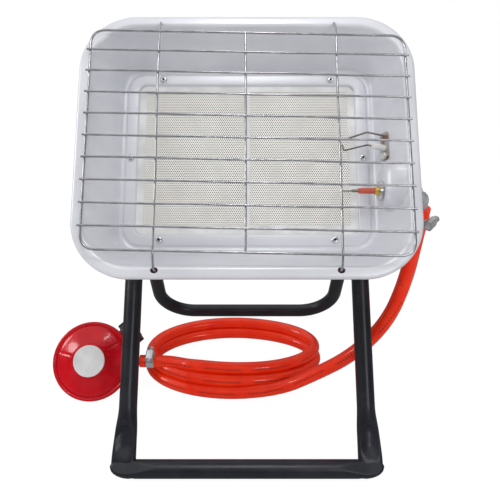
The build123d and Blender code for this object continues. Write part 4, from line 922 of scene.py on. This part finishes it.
wires = [wire_piece("ring", guard_ring(), RING_R, closed=True)]
bows = (0.3, -0.5, 0.2, 0.6, -0.3, 0.4, -0.6, 0.5, -0.2)
for number, bow in enumerate(bows):
    y = -GUARD_HALF_H + BAR_PITCH * (number + 1)
    line = [(-BAR_REACH, y), (-92, y + bow), (-30, y - bow / 2)]
    line += [(35, y + bow), (97, y - bow), (BAR_REACH, y)]
    wires.append(wire_piece("bar", [guard_point(x, h, BARS_Z) for x, h in line], BAR_R))
middle = [(-1.2, -98.5, GUARD_Z), (-0.9, 0, GUARD_Z), (-1.3, 96, GUARD_Z)]
wires.append(wire_piece("upright", [Vector(p) * mm for p in middle], BAR_R))
for side in (-1, 1):
    x = GUARD_X + side * HOOK_X
    line = [(x, -HOOK_Y, 38), (x, -HOOK_Y, 42), (x, -109, 46), (x, -99, GUARD_Z), (x, -90, GUARD_Z)]
    line += [(x + 0.5, -30, GUARD_Z), (x - 0.4, 40, GUARD_Z), (x, 92, GUARD_Z)]
    line += [(x, 101, 49), (x, 108, 45), (x, HOOK_Y, 42), (x, HOOK_Y, 38)]
    wires.append(wire_piece("upright", [Vector(p) * mm for p in line], BAR_R))
guard = joined("guard", wires)
finish_piece(guard, zinc_wire, "head", HEAD, smooth=60)
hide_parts("wire_guard")

# %% [markdown]
# ## Screws
# The pan heads are turned pieces with a recess in the middle, and an attribute tells their finish
# where the recess is, so that the finish paints the recess near black as shade. One screw is
# modelled and copied to each place.

# %% Pan heads
# each ring of a turned piece is its radius and its height
screw_rings = [(1.9, -5.9), (1.9, 0), (3.6, 0), (3.6, 0.7), (3.3, 1.4), (2.6, 1.95), (1.6, 2.2)]
screw_rings += [(1.3, 2.15), (1.0, 1.2), (0.8, 0.6)]
screw = turned("pan_head", screw_rings, 32)


def in_recess(co):
    return co.z > 0.3 * mm and math.hypot(co.x, co.y) < 1.2 * mm


recess_shade_values = [float(in_recess(vertex.co)) for vertex in screw.data.vertices]
screw.data.attributes.new("recess", "FLOAT", "POINT").data.foreach_set("value", recess_shade_values)
heads = []
places = [(-109, 0), (109, 0), (-80.5, -78.5), (80.5, -78.5), (-80.5, 78.5), (80.5, 78.5)]
for x, y in places:
    head = linked("head", screw.data.copy())
    head.data.transform(Matrix.Translation((x * mm, y * mm, 0.1 * mm)))
    heads.append(head)
burner_heads = joined("burner_screw_heads", heads)
finish_piece(burner_heads, screw_steel, "head", HEAD, smooth=40)
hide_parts("burner_screws")
bpy.data.objects.remove(screw)
print("screws placed", len(places))

# %% [markdown]
# ## Regulator
# The cover is a pressed disc: a rolled rim, a narrow groove, a shallow cone with four radial
# creases and a raised middle for the badge. It is extruded ring by ring from a circle with
# many segments, and the creases are pressed in by moving vertices near four angles.

# %% Regulator cover
cover_rings = [(45.3, -4.6), (46.4, -3.2), (46.5, -1.2), (45.9, 0.2), (44.7, 0.8), (43.4, 0.5)]
cover_rings += [(42.7, -0.3), (42.0, -0.6), (41.3, -0.2), (40.2, 0.7), (37, 1.6), (34, 2.5)]
cover_rings += [(31, 3.5), (28, 4.6), (25, 5.9), (23, 6.8), (21.6, 7.4), (20.6, 8.2)]
cover_rings += [(20.1, 9.4), (19.6, 10.2), (18.6, 10.6), (18.3, 10.4)]
cover = turned("pressure_cover", cover_rings, 240)
CREASES = (165, 35, -20, 230)        # degrees round the cover
CREASE_DEPTH, CREASE_WIDTH = 0.55, 1.1
CONE_INNER, CONE_OUTER = 22, 40.5


def creased(co):
    """Press the creases into the cone, so that they run out at both of its ends."""
    radius = math.hypot(co.x, co.y) / mm
    turn = math.degrees(math.atan2(co.y, co.x))
    depth = 0.0
    if CONE_INNER < radius < CONE_OUTER:
        ends = ease(radius, CONE_OUTER, 37) * ease(radius, CONE_INNER, 24)
        for at in CREASES:
            off = math.radians((turn - at + 180) % 360 - 180) * radius
            depth += CREASE_DEPTH * math.exp(-(off / CREASE_WIDTH) ** 2) * ends
    return Vector((co.x, co.y, co.z - depth * mm))


move_points(cover, creased)
finish_piece(cover, red, "stand", REG, smooth=45)
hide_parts("regulator_cover")

# %% Badge
badge_rings = [(18.3, 10.3), (18.3, 10.9), (18.0, 11.2), (17.4, 11.25), (16.9, 11.1)]
badge = turned("badge", badge_rings, 96)
finish_piece(badge, badge_paint, "stand", REG, smooth=30)
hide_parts("regulator_badge")

# %% [markdown]
# ## Finishes on the solids
# What is left of the frame already has the right shape and only gets its finish.

# %% Paint the solids
painted = {
    black: ["rear_frame"],
    zinc: ["pivot_bolt_left", "pivot_bolt_right", "pivot_washers_left", "pivot_washers_right",
           "tilt_bracket_left", "tilt_bracket_right", "control_plate", "valve_lock_nut",
           "injector_bracket", "inlet_nozzle", "regulator_spring"],
    bright_zinc: ["sensor_nut", "electrode_screw"] + HOSE_FITTINGS,
    steel: ["burner_box", "plaque_seat_frame", "mixing_tube"],
    brass: ["injector", "pipe_nuts", "gas_valve", "regulator_outlet", "inlet_stem"],
    copper: ["gas_pipe"],
    yellow_brass: ["thermocouple_collar"],
    sleeve_red: ["thermocouple_sleeve"],
    tinted_wire: ["thermocouple", "electrode_wire", "earth_wire"],
    rusty_plate: ["electrode_bracket"],
    fibre: ["plaque_seal"],
    porcelain: ["electrode_ceramic"],
    black_plastic: ["wing_knob_left", "wing_knob_right", "piezo_igniter", "cylinder_nut"],
    red_plastic: ["valve_push_button", "igniter_button"],
    lead_rubber: ["ignition_lead", "inlet_seal", "regulator_diaphragm"],
    red: ["regulator_body"],
}
for material, names in painted.items():
    for name in names:
        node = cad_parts[name]
        for place in node.material_slots:
            place.material = material
print("painted", sum(len(names) for names in painted.values()), "solids")

# %% [markdown]
# ## Floor and light
# The heater stands on a white ground. The floor glows white where the camera sees it and takes
# only a little shadow, but it is dark in reflections, which gives paint and tubes their
# contrast. The sky is dim in reflections too, except overhead, and three small lamps add the
# long soft highlights on the tubes.

# %% Floor
bpy.ops.object.select_all(action="DESELECT")
bpy.ops.mesh.primitive_plane_add(size=60, location=(0, 20, 0))
floor = new_piece("floor")
floor_paint = Paint("pale_floor", (0.9, 0.9, 0.9), 0.9)
tree = floor_paint.tree
CAMERA_RAY, GLOSSY_RAY, TRANSMISSION_RAY = 0, 3, 6     # outputs of a light path node
RAYS = (CAMERA_RAY, GLOSSY_RAY, TRANSMISSION_RAY)
GLOW, GLOW_SHARE = 1.06, 0.9
seen, mirrored, through = [floor_paint.node("ShaderNodeLightPath", out=ray) for ray in RAYS]
glow_colour = floor_paint.tint(mirrored, (1, 1, 1), (0.15, 0.15, 0.15))
white = floor_paint.node("ShaderNodeEmission", {}, glow_colour, GLOW)
mixed = tree.nodes.new("ShaderNodeMixShader")
tree.links.new(((seen + mirrored + through) * GLOW_SHARE).socket, mixed.inputs[0])
tree.links.new(floor_paint.shader.outputs[0], mixed.inputs[1])
tree.links.new(white.socket, mixed.inputs[2])
tree.links.new(mixed.outputs[0], tree.nodes["Material Output"].inputs[0])
floor.data.materials.append(floor_paint.material)
print("floor", floor.dimensions)

# %% Lights and world
class Sky(Paint):
    """The same shader maths for the nodes of the world."""

    def __init__(self, world):
        world.use_nodes = True
        self.tree = world.node_tree


world = bpy.data.worlds.new("studio")
bpy.context.scene.world = world
sky = Sky(world)
seen, mirrored, through = [sky.node("ShaderNodeLightPath", out=ray) for ray in RAYS]
BRIGHTEST_AT = (-0.25, 0.2, 0.95)    # direction of the bright part of the sky
SKY_LEVEL, OVERHEAD, DIMMED = 0.76, 0.8, 0.68
direction = sky.node("ShaderNodeTexCoord", out=0)
upward = sky.vectors("DOT_PRODUCT", direction, BRIGHTEST_AT, out=1)
level = SKY_LEVEL + mirrored * (upward.step(0.35, 1.0) * OVERHEAD - DIMMED)
level = level + (seen + through) * (1 - level)
sky.join(sky.tree.nodes["Background"].inputs["Color"], (1, 1, 1, 1))
sky.join(sky.tree.nodes["Background"].inputs["Strength"], level)


LAMPS_AIM = Vector((0, 0, 0.1))


def lamp(name, place, size, power):
    """A round lamp, aimed at the heater; size in metres and power in watts."""
    bpy.ops.object.light_add(type="AREA", location=place)
    light = bpy.context.object
    light.name = name
    light.data.shape, light.data.size, light.data.energy = "DISK", size, power
    aim = LAMPS_AIM - Vector(place)
    light.rotation_euler = aim.to_track_quat("-Z", "Y").to_euler()


lamp("overhead", (0.02, -0.55, 1.6), 0.3, 3.4)
lamp("left", (-1.5, -0.25, 1.0), 0.5, 6)
lamp("front", (0.65, -1.4, 0.95), 0.4, 3)
bpy.context.scene.view_settings.view_transform = "Standard"
print("lights ready")
